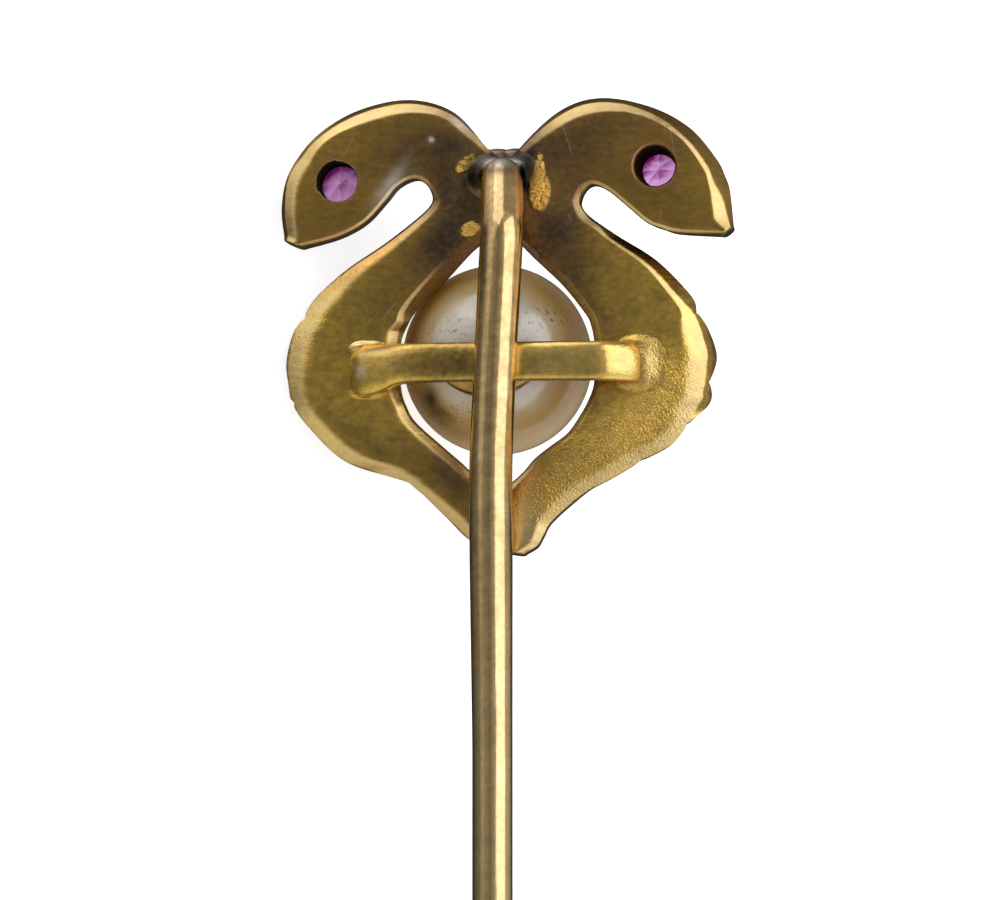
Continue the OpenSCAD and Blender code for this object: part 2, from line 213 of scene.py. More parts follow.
def smooth_rows(rows, per_row):
    rows = np.array(rows, float)
    last = len(rows) - 1
    t = np.linspace(0, last, last * per_row + 1)
    i = np.minimum(t.astype(int), last - 1)
    f = (t - i)[:, None]
    before, here, after, beyond = (rows[np.clip(i + k, 0, last)] for k in (-1, 0, 1, 2))
    return t, 0.5 * (
        2 * here + (after - before) * f + (2 * before - 5 * here + 4 * after - beyond) * f * f
        + (3 * here - before - 3 * after + beyond) * f ** 3
    )


print("ribs of the right serpent:", len(smooth_rows(RIGHT_RIBS, PER_ROW)[0]))

# %% [markdown]
# A filed bevel isn't a crisp chamfer. Years of wear leave an even slope with a soft shoulder that runs
# out far into the flat, and a small rolled edge outside. So the slope is what gets described, in
# degrees, and the height is its running sum. A steep bevel is kept for edges that look dark.

# %% The profile of a worn bevel
#   (slope in degrees, even as far as, fades over, slope of the edge strip, its width), counted in widths
ROLLED = (25, 0.84, 0.80, 50, 0.34)
CRISP = (27, 0.84, 0.16, 46, 0.32)
SOFT = (25, 0.51, 1.10, 32, 0.08)
STEEP = (26, 0.90, 0.16, 46, 0.72)
KINDS = {-1: SOFT, 0: ROLLED, 1: CRISP, 2: STEEP}
REACH = 1.7
EDGE_BLEND = 0.10
PROFILE_STEPS = 400


def ease(x):
    x = np.clip(x, 0, 1)
    return x * x * (3 - 2 * x)


def bevel_height(share, slope, even, fade, edge_slope, edge):
    steps = np.linspace(0, REACH, PROFILE_STEPS)
    inside = slope * (1 - ease((steps - even) / fade))
    in_edge = 1 - ease((steps - edge) / EDGE_BLEND + 0.5)
    slopes = np.radians(inside + (edge_slope - slope) * in_edge)
    height = np.cumsum(np.tan(slopes)) * REACH / PROFILE_STEPS
    beyond = np.minimum(share, 0) * math.tan(math.radians(edge_slope))
    return np.interp(share, steps, height - height[-1]) + beyond


def worn_bevel(distance, width, kind):
    shape = [np.interp(kind, list(KINDS), column) for column in zip(*KINDS.values())]
    return width * bevel_height(np.asarray(distance / width), *shape)


drops = {kind: round(float(worn_bevel(0, 1, kind)), 2) for kind in KINDS}
print("drop of each kind of bevel, in widths:", drops)

# %% [markdown]
# A file works square to the edge, but the ribs cross it at a slant. So each rib needs to know how far it
# is from square at both of its edges, and which way the edge faces: the casting leans in a little more
# where the edge faces down the pin. The notches are left out of this by smoothing.

# %% How the edges run
LEAST_SQUARE = 0.4
EDGE_SPREAD = 6


def smoothed(values, spread=PER_ROW * 1.1):
    steps = np.arange(-3 * PER_ROW, 3 * PER_ROW + 1)
    weights = np.exp(-(steps / spread) ** 2)
    padded = np.pad(values, 3 * PER_ROW, mode="reflect", reflect_type="odd")
    return np.convolve(padded, weights / weights.sum(), mode="valid")


def edge_directions(table, widths):
    """How square the ribs are to each edge, and how far each edge faces down the pin."""
    across = (table[:, 2:4] - table[:, 0:2]) / widths[:, None]
    squares, facing_down = [], []
    for columns, side in ((slice(0, 2), -1), (slice(2, 4), 1)):
        along = np.gradient(table[:, columns], axis=0)
        along = np.stack([smoothed(along[:, k], EDGE_SPREAD) for k in (0, 1)], -1)
        along /= np.linalg.norm(along, axis=1, keepdims=True)
        square = along[:, 0] * across[:, 1] - along[:, 1] * across[:, 0]
        away = side * np.sign(square)[:, None] * np.stack([-along[:, 1], along[:, 0]], -1)
        squares.append(np.clip(np.abs(square), LEAST_SQUARE, 1))
        facing_down.append(np.clip(-away[:, 1], 0, 1))
    return np.stack(squares, -1), np.stack(facing_down, -1)


print("a one-rib notch after smoothing:", round(float(smoothed(np.eye(1, 99, 49)[0]).max()), 2))

# %% [markdown]
# Now one rib can be drawn. Its back has the two bevels and isn't quite flat between them: filing and
# polishing leave it pillowed. Below come short walls, and the rounded front is cast, with a dip between
# its lobes.

# %% The back and the front of one rib
PILLOW = 0.06
FLAT_STEPS, DOME_STEPS = 22, 24
SHARES = np.linspace(0, 1, 30) ** 1.2
MOST_BEVEL, MOST_REACH = (0.42, 0.27), (0.58, 0.38)
BODY_T, WALL_Z = 1.7, 0.7
WALL_STEPS = np.array([0.2, 0.6, 1])
FRONT_SHARE, FRONT_DIP, FRONT_ROUND = 0.965, 0.07, 0.95


def rib_back(row, width, cut, square):
    """Places across the rib and heights of its back. The bevel of side b starts at its uncut edge."""
    wide_a, wide_b = (min(row[4 + k], MOST_BEVEL[k] * width) for k in (0, 1))
    reach_a = min(REACH * wide_a / square[0], MOST_REACH[0] * width)
    reach_b = min(REACH * wide_b / square[1], MOST_REACH[1] * width)
    flat = reach_a + (width - reach_a - reach_b) * np.linspace(0, 1, FLAT_STEPS)[1:-1]
    u = np.concatenate([reach_a * SHARES, flat, width - reach_b * SHARES[::-1]])
    z = worn_bevel(u * square[0], wide_a, row[7])
    z += worn_bevel((width - u + cut) * square[1], wide_b, row[8])
    return u, z + PILLOW * (4 * u / width * (1 - u / width) - 1)


def rib_front(row, width, dip, lean, z_a, z_b):
    """The wall of side b, the rounded front and the wall of side a."""
    turn = np.pi * np.arange(1, DOME_STEPS) / DOME_STEPS
    depth = FRONT_SHARE * row[6] * BODY_T * (1 - FRONT_DIP * dip) - WALL_Z
    dome = (lean[0] + width - lean[1]) / 2 + (width - lean[0] - lean[1]) / 2 * np.cos(turn)
    u = np.concatenate([width - lean[1] * WALL_STEPS, dome, lean[0] * WALL_STEPS[::-1]])
    z = np.concatenate([
        z_b - (WALL_Z + z_b) * WALL_STEPS,
        -WALL_Z - depth * np.sin(turn) ** FRONT_ROUND,
        z_a - (WALL_Z + z_a) * WALL_STEPS[::-1],
    ])
    return u, z


print("points round a rib:", 2 * len(SHARES) + FLAT_STEPS - 2 + DOME_STEPS - 1 + 2 * len(WALL_STEPS))

# %% [markdown]
# A whole serpent is its ribs in a row. The notches cut into the bevel and don't bend it, so the bevel
# follows a smoothed edge. A soft noise adds the shallow waves that the eye reads as real metal, and the
# inner wall is relieved where it passes the pearl.

# %% Loft the serpents
WAVE, WAVE_PITCH = 0.016, 0.8
NOTCH_CUT, NOTCH_REACH = 0.05, 0.13
MOST_OVERHANG = 0.03
DRAFT, UNDERCUT = 0.04, 0.09
END_REACH, END_SHRINK, END_TURNS = 0.07, 0.45, (25, 50, 70, 85)
LEFT_DROP = 0.04
PEARL = np.array([-0.38, 0.21, -1.90])
PEARL_R, PEARL_GAP = 2.225, 0.03


def serpent_rings(rows, notches):
    t, table = smooth_rows(rows, PER_ROW)
    dips = sum(np.exp(-((t - n) / NOTCH_REACH) ** 2) for n in notches)
    widths = np.linalg.norm(table[:, 2:4] - table[:, 0:2], axis=1)
    on_body = ease((t - notches[0] + 2.5) / 1.5) * ease((notches[-1] + 2.5 - t) / 1.5)
    cuts = np.maximum(on_body * (smoothed(widths) - widths), -MOST_OVERHANG)
    squares, facing_down = edge_directions(table, widths)
    leans = DRAFT + UNDERCUT * facing_down * on_body[:, None]
    rings = []
    for row, width, dip, cut, square, lean in zip(table, widths, dips, cuts, squares, leans):
        start, across = row[0:2], (row[2:4] - row[0:2]) / width
        width, cut = width - NOTCH_CUT * dip, cut + NOTCH_CUT * dip
        u, z = rib_back(row, width, cut, square)
        back = (start + across * u[:, None]) * WAVE_PITCH
        z += [WAVE * noise.noise(Vector((x + 7, y, 3))) for x, y in back]
        front_u, front_z = rib_front(row, width, dip, lean, z[0], z[-1])
        u, z = np.concatenate([u, front_u]), np.concatenate([z, front_z])
        rings.append(np.column_stack([start + across * u[:, None], z]))
    return rounded_ends(np.array(rings))


def rounded_ends(rings):
    def cap(end, inner):
        middle = end.mean(axis=0)
        ahead = middle - inner.mean(axis=0)
        ahead = END_REACH * ahead / np.linalg.norm(ahead)
        return [
            middle + (end - middle) * (1 - END_SHRINK * (1 - math.cos(turn))) + ahead * math.sin(turn)
            for turn in np.radians(END_TURNS)
        ]
    first = cap(rings[0], rings[2])[::-1]
    return np.concatenate([first, rings, cap(rings[-1], rings[-3])])


def relieved(rings):
    away = rings - PEARL
    far = np.linalg.norm(away, axis=-1, keepdims=True)
    return PEARL + away * np.maximum(far, PEARL_R + PEARL_GAP) / far


right_rings = relieved(serpent_rings(RIGHT_RIBS, RIGHT_NOTCHES))
left_rings = relieved(serpent_rings(LEFT_RIBS, LEFT_NOTCHES) * [-1, 1, 1] - [0, 0, LEFT_DROP])
right_serpent = make_piece("right_serpent", *loft(right_rings))
left_serpent = make_piece("left_serpent", *loft(left_rings))

# %% [markdown]
# The goldsmith drills a sight hole behind each eye, so that light reaches the stone from the back, and
# breaks its edge with a small countersink. A boolean cut with a turned tool does just what the drill
# did, and keeps the ledge that the stone rests on.

# %% Drill the sight holes
#   EYES: x, y, depth of the ledge that the stone rests on, taper of the hole
STONE_R, SIGHT_R, STONE_GAP = 0.62, 0.49, 0.03
SETTING_R = STONE_R + STONE_GAP
SINK_R, SINK_TOP, SINK_INSET, SINK_Z = 0.43, 0.38, 0.02, -0.07
DRILL_LENGTH = 2
EYES = {"right": (3.53, 4.5, -1.1, 0.1), "left": (-3.93, 4.25, -0.89, 0.03)}


def turned(profile, x, y, sides=96):
    turn = round_turns(sides)
    return [
        np.stack([x + r * np.cos(turn), y + r * np.sin(turn), np.full(sides, z)], -1) for r, z in profile
    ]


def drill(serpent, x, y, ledge, taper):
    tool = [
        (SIGHT_R + SINK_R, SINK_TOP), (SIGHT_R - SINK_INSET, SINK_Z),
        (SIGHT_R - taper, ledge - STONE_GAP), (SETTING_R, ledge), (SETTING_R, ledge - DRILL_LENGTH),
    ]
    bit = add_skin("drill", *loft(turned(tool, x, y)))
    cut = serpent.modifiers.new("cut", "BOOLEAN")
    cut.operation, cut.solver, cut.object = "DIFFERENCE", "EXACT", bit
    dg = bpy.context.evaluated_depsgraph_get()
    done = bpy.data.meshes.new_from_object(serpent.evaluated_get(dg))
    serpent.modifiers.clear()
    serpent.data = done
    bpy.data.objects.remove(bit)
    done.set_sharp_from_angle(angle=math.radians(38))
    print(serpent.name, "drilled:", len(done.polygons), "faces")


drill(right_serpent, *EYES["right"])
drill(left_serpent, *EYES["left"])

# %% [markdown]
# In front a collar of metal stands round each stone. It is a profile turned about an axis, so the same
# function makes it, with its last row joined to its first.

# %% The collars
COLLAR_WIDTH, COLLAR_BACK, COLLAR_FRONT = 0.17, -1.25, -1.72
COLLAR_ROUND = 0.04
for side, (x, y, _, _) in EYES.items():
    inner, outer = SETTING_R, SETTING_R + COLLAR_WIDTH
    collar = turned([
        (inner, COLLAR_BACK), (inner, COLLAR_FRONT + COLLAR_ROUND), (inner + 0.03, COLLAR_FRONT),
        (outer - 0.06, COLLAR_FRONT), (outer - 0.015, COLLAR_FRONT + COLLAR_ROUND),
        (outer, COLLAR_FRONT + 3 * COLLAR_ROUND), (outer, COLLAR_BACK),
    ], x, y)
    points, faces = loft(collar + [collar[0]])
    make_piece(side + "_collar", points[:-2], [face for face in faces if len(face) == 4])

# %% [markdown]
# ## The strap and the pearl's seat
# A strap of flat wire bridges the gap and carries the pearl on a dished seat. It was bent over at both
# ends and soldered down, and its left foot spread under the hammer. A loft of rounded sections along
# its length gives the bends, the soft edges and the spread foot in one table.

# %% The strap, one row for each section from the left foot to the right
#   [x, top z, low y, high y, squareness, fall of the upper edge]
STRAP = [
    [-3.68, -0.2, -0.7, 0.3, 0.7, 0.05], [-3.6, -0.02, -0.78, 0.37, 0.66, 0.1],
    [-3.4, 0.16, -0.82, 0.41, 0.6, 0.15], [-3.1, 0.33, -0.81, 0.42, 0.55, 0.16],
    [-2.8, 0.47, -0.74, 0.4, 0.48, 0.13], [-2.5, 0.59, -0.62, 0.38, 0.44, 0.07],
    [-2.2, 0.67, -0.57, 0.36, 0.4, 0.03], [-1.8, 0.72, -0.56, 0.36, 0.38, 0.02],
    [-1.2, 0.75, -0.56, 0.36, 0.38, 0.02], [0, 0.76, -0.56, 0.36, 0.38, 0.02],
    [1.2, 0.74, -0.56, 0.36, 0.38, 0.02], [2.1, 0.7, -0.56, 0.36, 0.38, 0.02],
    [2.4, 0.665, -0.57, 0.36, 0.4, 0.02], [2.6, 0.6, -0.57, 0.35, 0.44, 0.03],
    [2.82, 0.49, -0.57, 0.35, 0.5, 0.04], [3, 0.38, -0.57, 0.33, 0.6, 0.04],
    [3.12, 0.28, -0.55, 0.28, 0.72, 0.04], [3.2, 0.17, -0.51, 0.2, 0.85, 0.03],
    [3.25, 0.02, -0.44, 0.08, 1, 0.02],
]
STRAP_T = 0.35
FALL_WIDTH = 0.3
CROWN, STRAP_WAVE = 0.04, 0.01


def rounded(value, power):
    return np.sign(value) * np.abs(value) ** power


def strap_rings():
    _, table = smooth_rows(STRAP, 8)
    turn = round_turns()
    rings = []
    for x, top, low, high, square, fall in table:
        y = (low + high) / 2 + (high - low) / 2 * rounded(np.cos(turn), square)
        z = top - STRAP_T / 2 * (1 - rounded(np.sin(turn), square + 0.04))
        z += CROWN * (0.5 - (2 * (y - low) / (high - low) - 1) ** 2)
        z -= fall * np.clip((y - high) / FALL_WIDTH + 1, 0, 1) ** 1.4
        z += [STRAP_WAVE * noise.noise(Vector((1.1 * x, 2 * v, 9))) for v in y]
        rings.append(np.stack([np.full_like(y, x), y, z], -1))
    return rings


strap = make_piece("strap", *loft(strap_rings()))

# %% [markdown]
# The seat is a thin piece of sheet, dished so that the pearl sits snugly in it. Only its lower rim shows.
# Both of its sides follow a ball round the pearl's middle, so the dish needs no sculpting.

# %% The dished seat under the strap
SEAT, SEAT_R, SEAT_TOP = np.array([-0.37, 0.62]), 1.5, 0.2
SEAT_T = 0.16
SEAT_ARC = np.radians(np.linspace(197, 343, 60))
RIM_ROLL = np.array([0, 0.02, -0.03])


def dish_height(place, radius):
    x, y = (place - PEARL[:2]).T
    return PEARL[2] + np.sqrt(radius ** 2 - x ** 2 - y ** 2)


seat_rings = []
for turn in SEAT_ARC:
    rim = SEAT + SEAT_R * np.array([math.cos(turn), math.sin(turn)])
    line = np.linspace([rim[0], SEAT_TOP], rim, 14)
    under = np.column_stack([line, dish_height(line, PEARL_R + PEARL_GAP)])
    over = np.column_stack([line, dish_height(line, PEARL_R + PEARL_GAP + SEAT_T)])
    over[-1] += RIM_ROLL
    seat_rings.append(np.vstack([over, under[::-1]]))
pearl_seat = make_piece("pearl_seat", *loft(seat_rings))

# %% [markdown]
# ## The stem
# The stem is round wire, ground to a point and bent near the top so that its end leans into the solder
# between the necks. Following a path by its heading, step by step, is how a wire really bends: the
# rings stay square to the wire and nothing is squashed at the bend.

# %% Bend the wire
STEM_R, WORN_R, TIP_R = 0.5, 0.468, 0.06
STEM_START = np.array([-0.126, -57.79, 1.17])
POINT_LEN, STRAIGHT, END_ROUND = 9.0, 54.89, 0.44
#   [length beyond the straight run, sway to the right, lean into the heads]
BENDS = [
    [-6.4, 0, 0], [-6, -0.42, 0], [-1.9, -0.42, 0], [0, 0, 0], [0.8, 2.3, 0], [3.3, 2.9, 0],
    [5.5, 2.9, 1], [5.62, 1.5, 8], [5.74, 0, 16], [5.86, -2, 24], [6, -4, 32], [7.34, -4, 32],
]
#   [length from the tip, radius]
TAPER = [[0, TIP_R], [POINT_LEN, WORN_R], [STRAIGHT - 6, WORN_R], [STRAIGHT - 2, STEM_R]]


def between(table, column, x):
    table = np.array(table, float)
    return np.interp(x, table[:, 0], table[:, column])


def stem_rings():
    along = np.concatenate([
        np.linspace(0, POINT_LEN, 30), np.linspace(POINT_LEN, STRAIGHT, 120)[1:],
        STRAIGHT + np.linspace(0, BENDS[-1][0], 130)[1:],
    ])
    sway, lean = (np.radians(between(BENDS, column, along - STRAIGHT)) for column in (1, 2))
    heading = np.stack([np.sin(sway) * np.cos(lean), np.cos(sway) * np.cos(lean), -np.sin(lean)], -1)
    steps = (heading[1:] + heading[:-1]) / 2 * np.diff(along)[:, None]
    path = STEM_START + np.vstack([np.zeros(3), np.cumsum(steps, axis=0)])
    turn = round_turns()
    rings = []
    for place, ahead, r in zip(path, heading, between(TAPER, 1, along)):
        across = np.cross(ahead, [0, 0, 1])
        across /= np.linalg.norm(across)
        out = np.cross(across, ahead)
        rings.append(place + r * (np.cos(turn)[:, None] * across + np.sin(turn)[:, None] * out))
    tip = [
        STEM_START + (rings[0] - STEM_START) * math.cos(a) - [0, TIP_R * math.sin(a), 0]
        for a in np.radians([80, 60, 40, 20])
    ]
    end = [
        path[-1] + (rings[-1] - path[-1]) * math.cos(a) ** 0.7 + heading[-1] * END_ROUND * math.sin(a)
        for a in np.radians([12, 25, 38, 50, 62, 74, 84])
    ]
    return tip + rings + end


stem = make_piece("stem", *loft(stem_rings()))

# %% [markdown]
# ## The solder
# Solder flows while it is hot, so its edge thins out to nothing and its surface is a soft heap. A round
# sheet of rings is laid on the metal by looking straight down onto it, and lifted by a few gentle
# mounds. Its border dips just under the metal, so no seam shows.

# %% How high the metal is below a place
BETWEEN_Z = -0.45
trees = []
for rings in (right_rings, left_rings):
    points, faces = loft(rings)
    trees.append(BVHTree.FromPolygons(points.tolist(), faces))


def metal_height(x, y):
    hits = [tree.ray_cast(Vector((x, y, 3)), Vector((0, 0, -1)))[0] for tree in trees]
    return max([hit.z for hit in hits if hit] + [BETWEEN_Z])


print("metal at the right foot, mm:", round(metal_height(3.3, -0.1), 3))

# %% [markdown]
# A heap is a fan of rings round a middle. Its reach changes with the direction, a table of mounds gives
# its height, and both fade towards the border. Below, it closes with a flat bottom inside the metal.

# %% A heap of solder laid on the metal
HEAP_TURNS = round_turns(120)
FADE_FROM, SWELL, SUNK = 0.55, 0.02, 0.015


def mounds(x, y, table):
    return sum(top * np.exp(-((x - mx) / rx) ** 2 - ((y - my) / ry) ** 2) for mx, my, rx, ry, top in table)


def heap(name, centre, reach, table, depth, rough):
    """Reach: rows of degrees and millimetres. Table: rows of x, y, half width, half height, rise."""
    angles, radii = np.array(reach).T
    radius = np.interp(np.degrees(HEAP_TURNS), angles, radii)
    rings = []
    for share in np.linspace(0.02, 1, 50):
        x = centre[0] + share * radius * np.cos(HEAP_TURNS)
        y = centre[1] + share * radius * np.sin(HEAP_TURNS)
        fade = 1 - ease((share - FADE_FROM) / (1 - FADE_FROM))
        wrinkle = [rough * noise.noise(Vector((a * 5, b * 5, 1))) for a, b in zip(x, y)]
        metal = np.array([metal_height(a, b) for a, b in zip(x, y)])
        rings.append(np.stack([x, y, metal + fade * (mounds(x, y, table) + wrinkle + SWELL) - SUNK], -1))
    bottom = rings[-1] * [1, 1, 0] - [0, 0, depth]
    middle = np.array([*centre, -depth])
    rings += [bottom, middle + (bottom - middle) * 0.5, middle + (bottom - middle) * 0.02]
    return make_piece(name, *loft(rings))

# %% [markdown]
# Three heaps show: a large dark one that buries the stem's end between the necks, and a small one at
# each foot of the strap. Their mounds are listed one by one.

# %% The heaps at the necks and at the strap's feet
neck_solder = heap(
    "neck_solder", (0.0, 4.25),
    [(0, 1.05), (30, 0.98), (60, 0.85), (90, 0.74), (120, 0.85), (150, 1.0), (180, 1.08), (210, 0.9),
     (250, 0.7), (290, 0.74), (320, 1.02), (345, 1.08), (360, 1.05)],
    [(0.0, 4.35, 0.6, 0.42, 0.22), (-0.62, 4.36, 0.2, 0.3, 0.36), (0.56, 4.38, 0.15, 0.32, 0.34),
     (0.0, 4.62, 0.4, 0.17, 0.18), (0.82, 3.9, 0.2, 0.3, 0.08), (-0.12, 4.92, 0.14, 0.09, 0.14),
     (0.24, 4.9, 0.12, 0.08, 0.1)],
    0.45, 0.03,
)
left_foot_solder = heap(
    "left_foot_solder", (-3.2, -0.2),
    [(0, 0.62), (40, 0.85), (90, 0.8), (135, 0.82), (180, 0.62), (225, 0.82), (270, 0.78), (320, 0.85),
     (360, 0.62)],
    [(-3.45, 0.42, 0.24, 0.12, 0.16), (-2.9, 0.44, 0.3, 0.1, 0.1), (-3.25, -0.78, 0.4, 0.1, 0.13)],
    0.3, 0.006,
)
right_foot_solder = heap(
    "right_foot_solder", (3.24, -0.12),
    [(0, 0.74), (45, 0.86), (90, 0.82), (135, 0.92), (180, 0.84), (225, 0.92), (270, 0.85), (315, 0.86),
     (360, 0.74)],
    [(3.26, -0.13, 0.27, 0.5, 0.135), (2.9, 0.44, 0.34, 0.14, 0.05), (2.8, -0.62, 0.45, 0.12, 0.04)],
    0.3, 0.008,
)

# %% [markdown]
# ## The pearl
# A pearl is never a true ball. A sphere of rings, swollen here and there by a soft noise, keeps it
# alive, and a little dimpling of the surface breaks the reflections as nacre does.

# %% The pearl
PEARL_SIDES, PEARL_SWELL = 160, 0.006
turns = round_turns(PEARL_SIDES)
pearl_rings = []
for tilt in np.radians(np.linspace(1.5, 178.5, 90)):
    ring = np.stack([
        np.sin(tilt) * np.cos(turns), np.sin(tilt) * np.sin(turns), np.full(PEARL_SIDES, np.cos(tilt)),
    ], -1)
    swell = [1 + PEARL_SWELL * (noise.noise(Vector(p * 1.3)) - 0.5) for p in ring]
    pearl_rings.append(PEARL + PEARL_R * ring * np.array(swell)[:, None])
pearl = make_piece("pearl_body", *loft(pearl_rings), slot="pearl", node="pearl")

# %% [markdown]
# ## Painting with spots
# Old gold is never one colour. The torch left copper-red fire stain along some edges, and brown tarnish
# stays where no cloth reaches. The edges are rubbed bright, which also paints in their highlights, some
# dark spots are painted shade, the pale spots are painted highlight and the silver ones are partly painted
# sheen. Image maps could hold that, but soft spots listed by place are easier to read and to move. A spot
# is a soft ellipse, and spots that overlap add up without going past one.

# %% The amount of all spots at a place
#   A spot: [x, y, half width, half height, strength, turn in degrees if it has one]


def cos_sin(degrees=0):
    return math.cos(math.radians(degrees)), math.sin(math.radians(degrees))


def spot_amount(x, y, table):
    clear = np.ones_like(x)
    for mx, my, half_x, half_y, strength, *turn in table:
        c, s = cos_sin(*turn)
        u, v = (x - mx) * c + (y - my) * s, (y - my) * c - (x - mx) * s
        clear *= 1 - strength * np.exp(-(u / half_x) ** 2 - (v / half_y) ** 2)
    return 1 - clear


print("half way out of a spot:", round(float(spot_amount(np.array(0.5), 0, [[0, 0, 1, 1, 1]])), 2))

# %% [markdown]
# Most of the stain is on the serpents. Yellow is where the gold was polished, grain is the sandy skin
# of the casting, and nuggets are crumbs of gold that stayed beside the solder.

# %% Where the serpents are stained
SPOTS = {
    "yellow": [
        [3, -1.6, 2.2, 1.7, 0.42], [3.95, 0.7, 1.3, 1.7, 0.95], [-3.5, -0.9, 1.8, 1.6, 0.95],
        [0.7, -3.8, 1, 0.9, 0.35], [3.1, 1.6, 1.3, 0.9, 0.85, -40], [-3.3, 1.6, 1.1, 0.6, 0.4, 40],
        [-4, 0.4, 1, 1.4, 0.6], [-4.2, 4.7, 0.7, 1.1, 0.25], [4.6, 3.9, 0.7, 0.6, 0.35, -50],
    ],
    # Tarnish, and in places painted shade: the dark bands along the inner edges beside the pearl and in the
    # left tail, and the long thin strips.
    "tarnish_and_shade": [
        [-1.26, 5.12, 0.6, 0.32, 0.8, -25], [-1.38, 4, 0.45, 0.85, 0.85],
        [-1.38, 2.65, 0.5, 0.42, 0.95, 40], [-0.91, 3.62, 0.4, 0.5, 0.8], [-2.2, 4.8, 0.7, 0.5, 0.4],
        [-1.3, -2.66, 0.95, 0.34, 0.8, -43], [-3.35, -1.72, 1, 0.2, 0.35, -35],
        [-3.1, 1.3, 0.6, 0.7, 0.3, 50], [1.31, 3.04, 0.75, 0.65, 0.9], [1.25, 4.9, 0.55, 0.55, 0.65],
        [2.1, 5.35, 1, 0.5, 0.55, 15], [0.73, 2.57, 0.4, 0.5, 0.9, -40], [1.66, 2.1, 0.6, 0.45, 0.7, -45],
        [1.66, 4, 0.35, 0.6, 0.55], [2, 1.35, 0.25, 0.8, 0.5, 35], [2.85, 1.5, 0.45, 0.45, 0.22],
        [3.6, 4.1, 0.55, 0.35, 0.3, -30], [2.06, -0.8, 0.16, 0.7, 0.55], [0.3, 3.4, 0.7, 1.2, 0.95],
        [-0.5, 4.3, 0.6, 0.8, 0.8], [0.6, 4.9, 0.5, 0.6, 0.7], [-1.35, 2.85, 1.05, 0.6, 0.95, 45],
        [-1.85, 4.95, 0.8, 0.5, 0.45, -15], [-1.45, 4.6, 0.35, 0.5, 0.55], [1.95, 4.7, 0.45, 0.6, 0.35],
        [0.8, 5.35, 0.5, 0.22, 0.15, 52], [-0.9, 5.45, 0.6, 0.22, 0.25, -50],
        [-1.72, 1.62, 0.9, 0.15, 0.85, 50], [1.45, 1.55, 1.2, 0.13, 0.8, -57],
        [1.28, -1.68, 1.3, 0.11, 0.75, 51],
    ],
    "copper": [
        [1.74, 4.08, 0.14, 0.36, 0.8], [2.05, 4.42, 0.35, 0.1, 0.7, 30], [-1.59, 5.72, 0.08, 0.06, 1],
        [2.1, 4.1, 0.55, 0.6, 0.35], [-1.5, 3.95, 0.5, 0.5, 0.3], [-3.26, 2.32, 0.95, 0.12, 0.85, 35],
        [-2.5, 3, 0.7, 0.08, 0.7, 42], [-2.65, 3.74, 0.75, 0.08, 0.75, 43],
        [-3.8, 3.08, 0.8, 0.12, 0.6, 12], [-1.15, 2.43, 0.8, 0.17, 0.9, 47], [-1.6, 3.97, 0.1, 0.5, 0.6],
        [-2.05, 4.3, 0.5, 0.08, 0.55, 20], [1.69, 4.5, 0.1, 0.5, 0.9], [2.2, 4.62, 0.45, 0.08, 0.6, -15],
        [1.03, 2.29, 0.35, 0.1, 0.55, -50], [3.4, 3.55, 0.7, 0.1, 0.5, -35],
        [1.15, 5.55, 0.7, 0.16, 0.2, 50], [-3.7, -0.35, 0.2, 0.55, 0.25],
        [0.9, -3.65, 0.22, 0.14, 0.25, 20], [2.6, 1, 0.3, 0.25, 0.2],
    ],
    "nugget": [
        [0.83, 3.9, 0.25, 0.42, 1, -5], [0.83, 4.5, 0.1, 0.36, 1], [-0.9, 4.62, 0.34, 0.15, 0.85, 42],
        [-0.8, 3.08, 0.24, 0.17, 1, 25],
    ],
    "grain": [
        [3, -1.7, 1.7, 0.95, 1, 35], [1.3, -3.1, 0.9, 0.7, 0.9, 40], [3.9, -0.5, 0.75, 0.7, 0.6],
        [-4.6, 0.9, 0.5, 0.8, 0.25, -20], [-3.9, 1.9, 0.6, 0.3, 0.3, 40], [-1.15, 2.43, 0.8, 0.2, 0.6, 47],
    ],
    "lead": [
        [-0.73, 4.54, 0.2, 0.32, 1, 10], [-0.9, 4.16, 0.14, 0.22, 0.8], [0.64, 4.56, 0.14, 0.38, 1],
        [0.6, 4.05, 0.09, 0.35, 0.95], [-0.02, 4.84, 0.62, 0.1, 0.85],
    ],
    # Painted highlight: the pale spots make the end of the right tail lighter.
    "painted_highlight": [[0.35, -3.9, 0.45, 0.6, 0.95], [0.45, -3.2, 0.25, 1.1, 0.5, -10]],
    # Painted sheen: the long streak beside the left jaw.
    "silver_and_sheen": [
        [-2.7, 4.16, 0.58, 0.17, 0.5, 52], [-1.71, 5.2, 0.06, 0.06, 0.9], [-1.05, 5.6, 0.3, 0.12, 0.3, -35],
    ],
}

# %% [markdown]
# The strap, its solder, the seat and the stem have their own few spots. Lead in the solder between the
# necks turned blue-black, and the stem's end and the solder behind it show silver white, partly as a
# painted highlight. Some dark spots are painted shade: on the seat, on the strap beside the stem, below
# the stem's end and down the stem's left side. The pale spots are painted highlights.

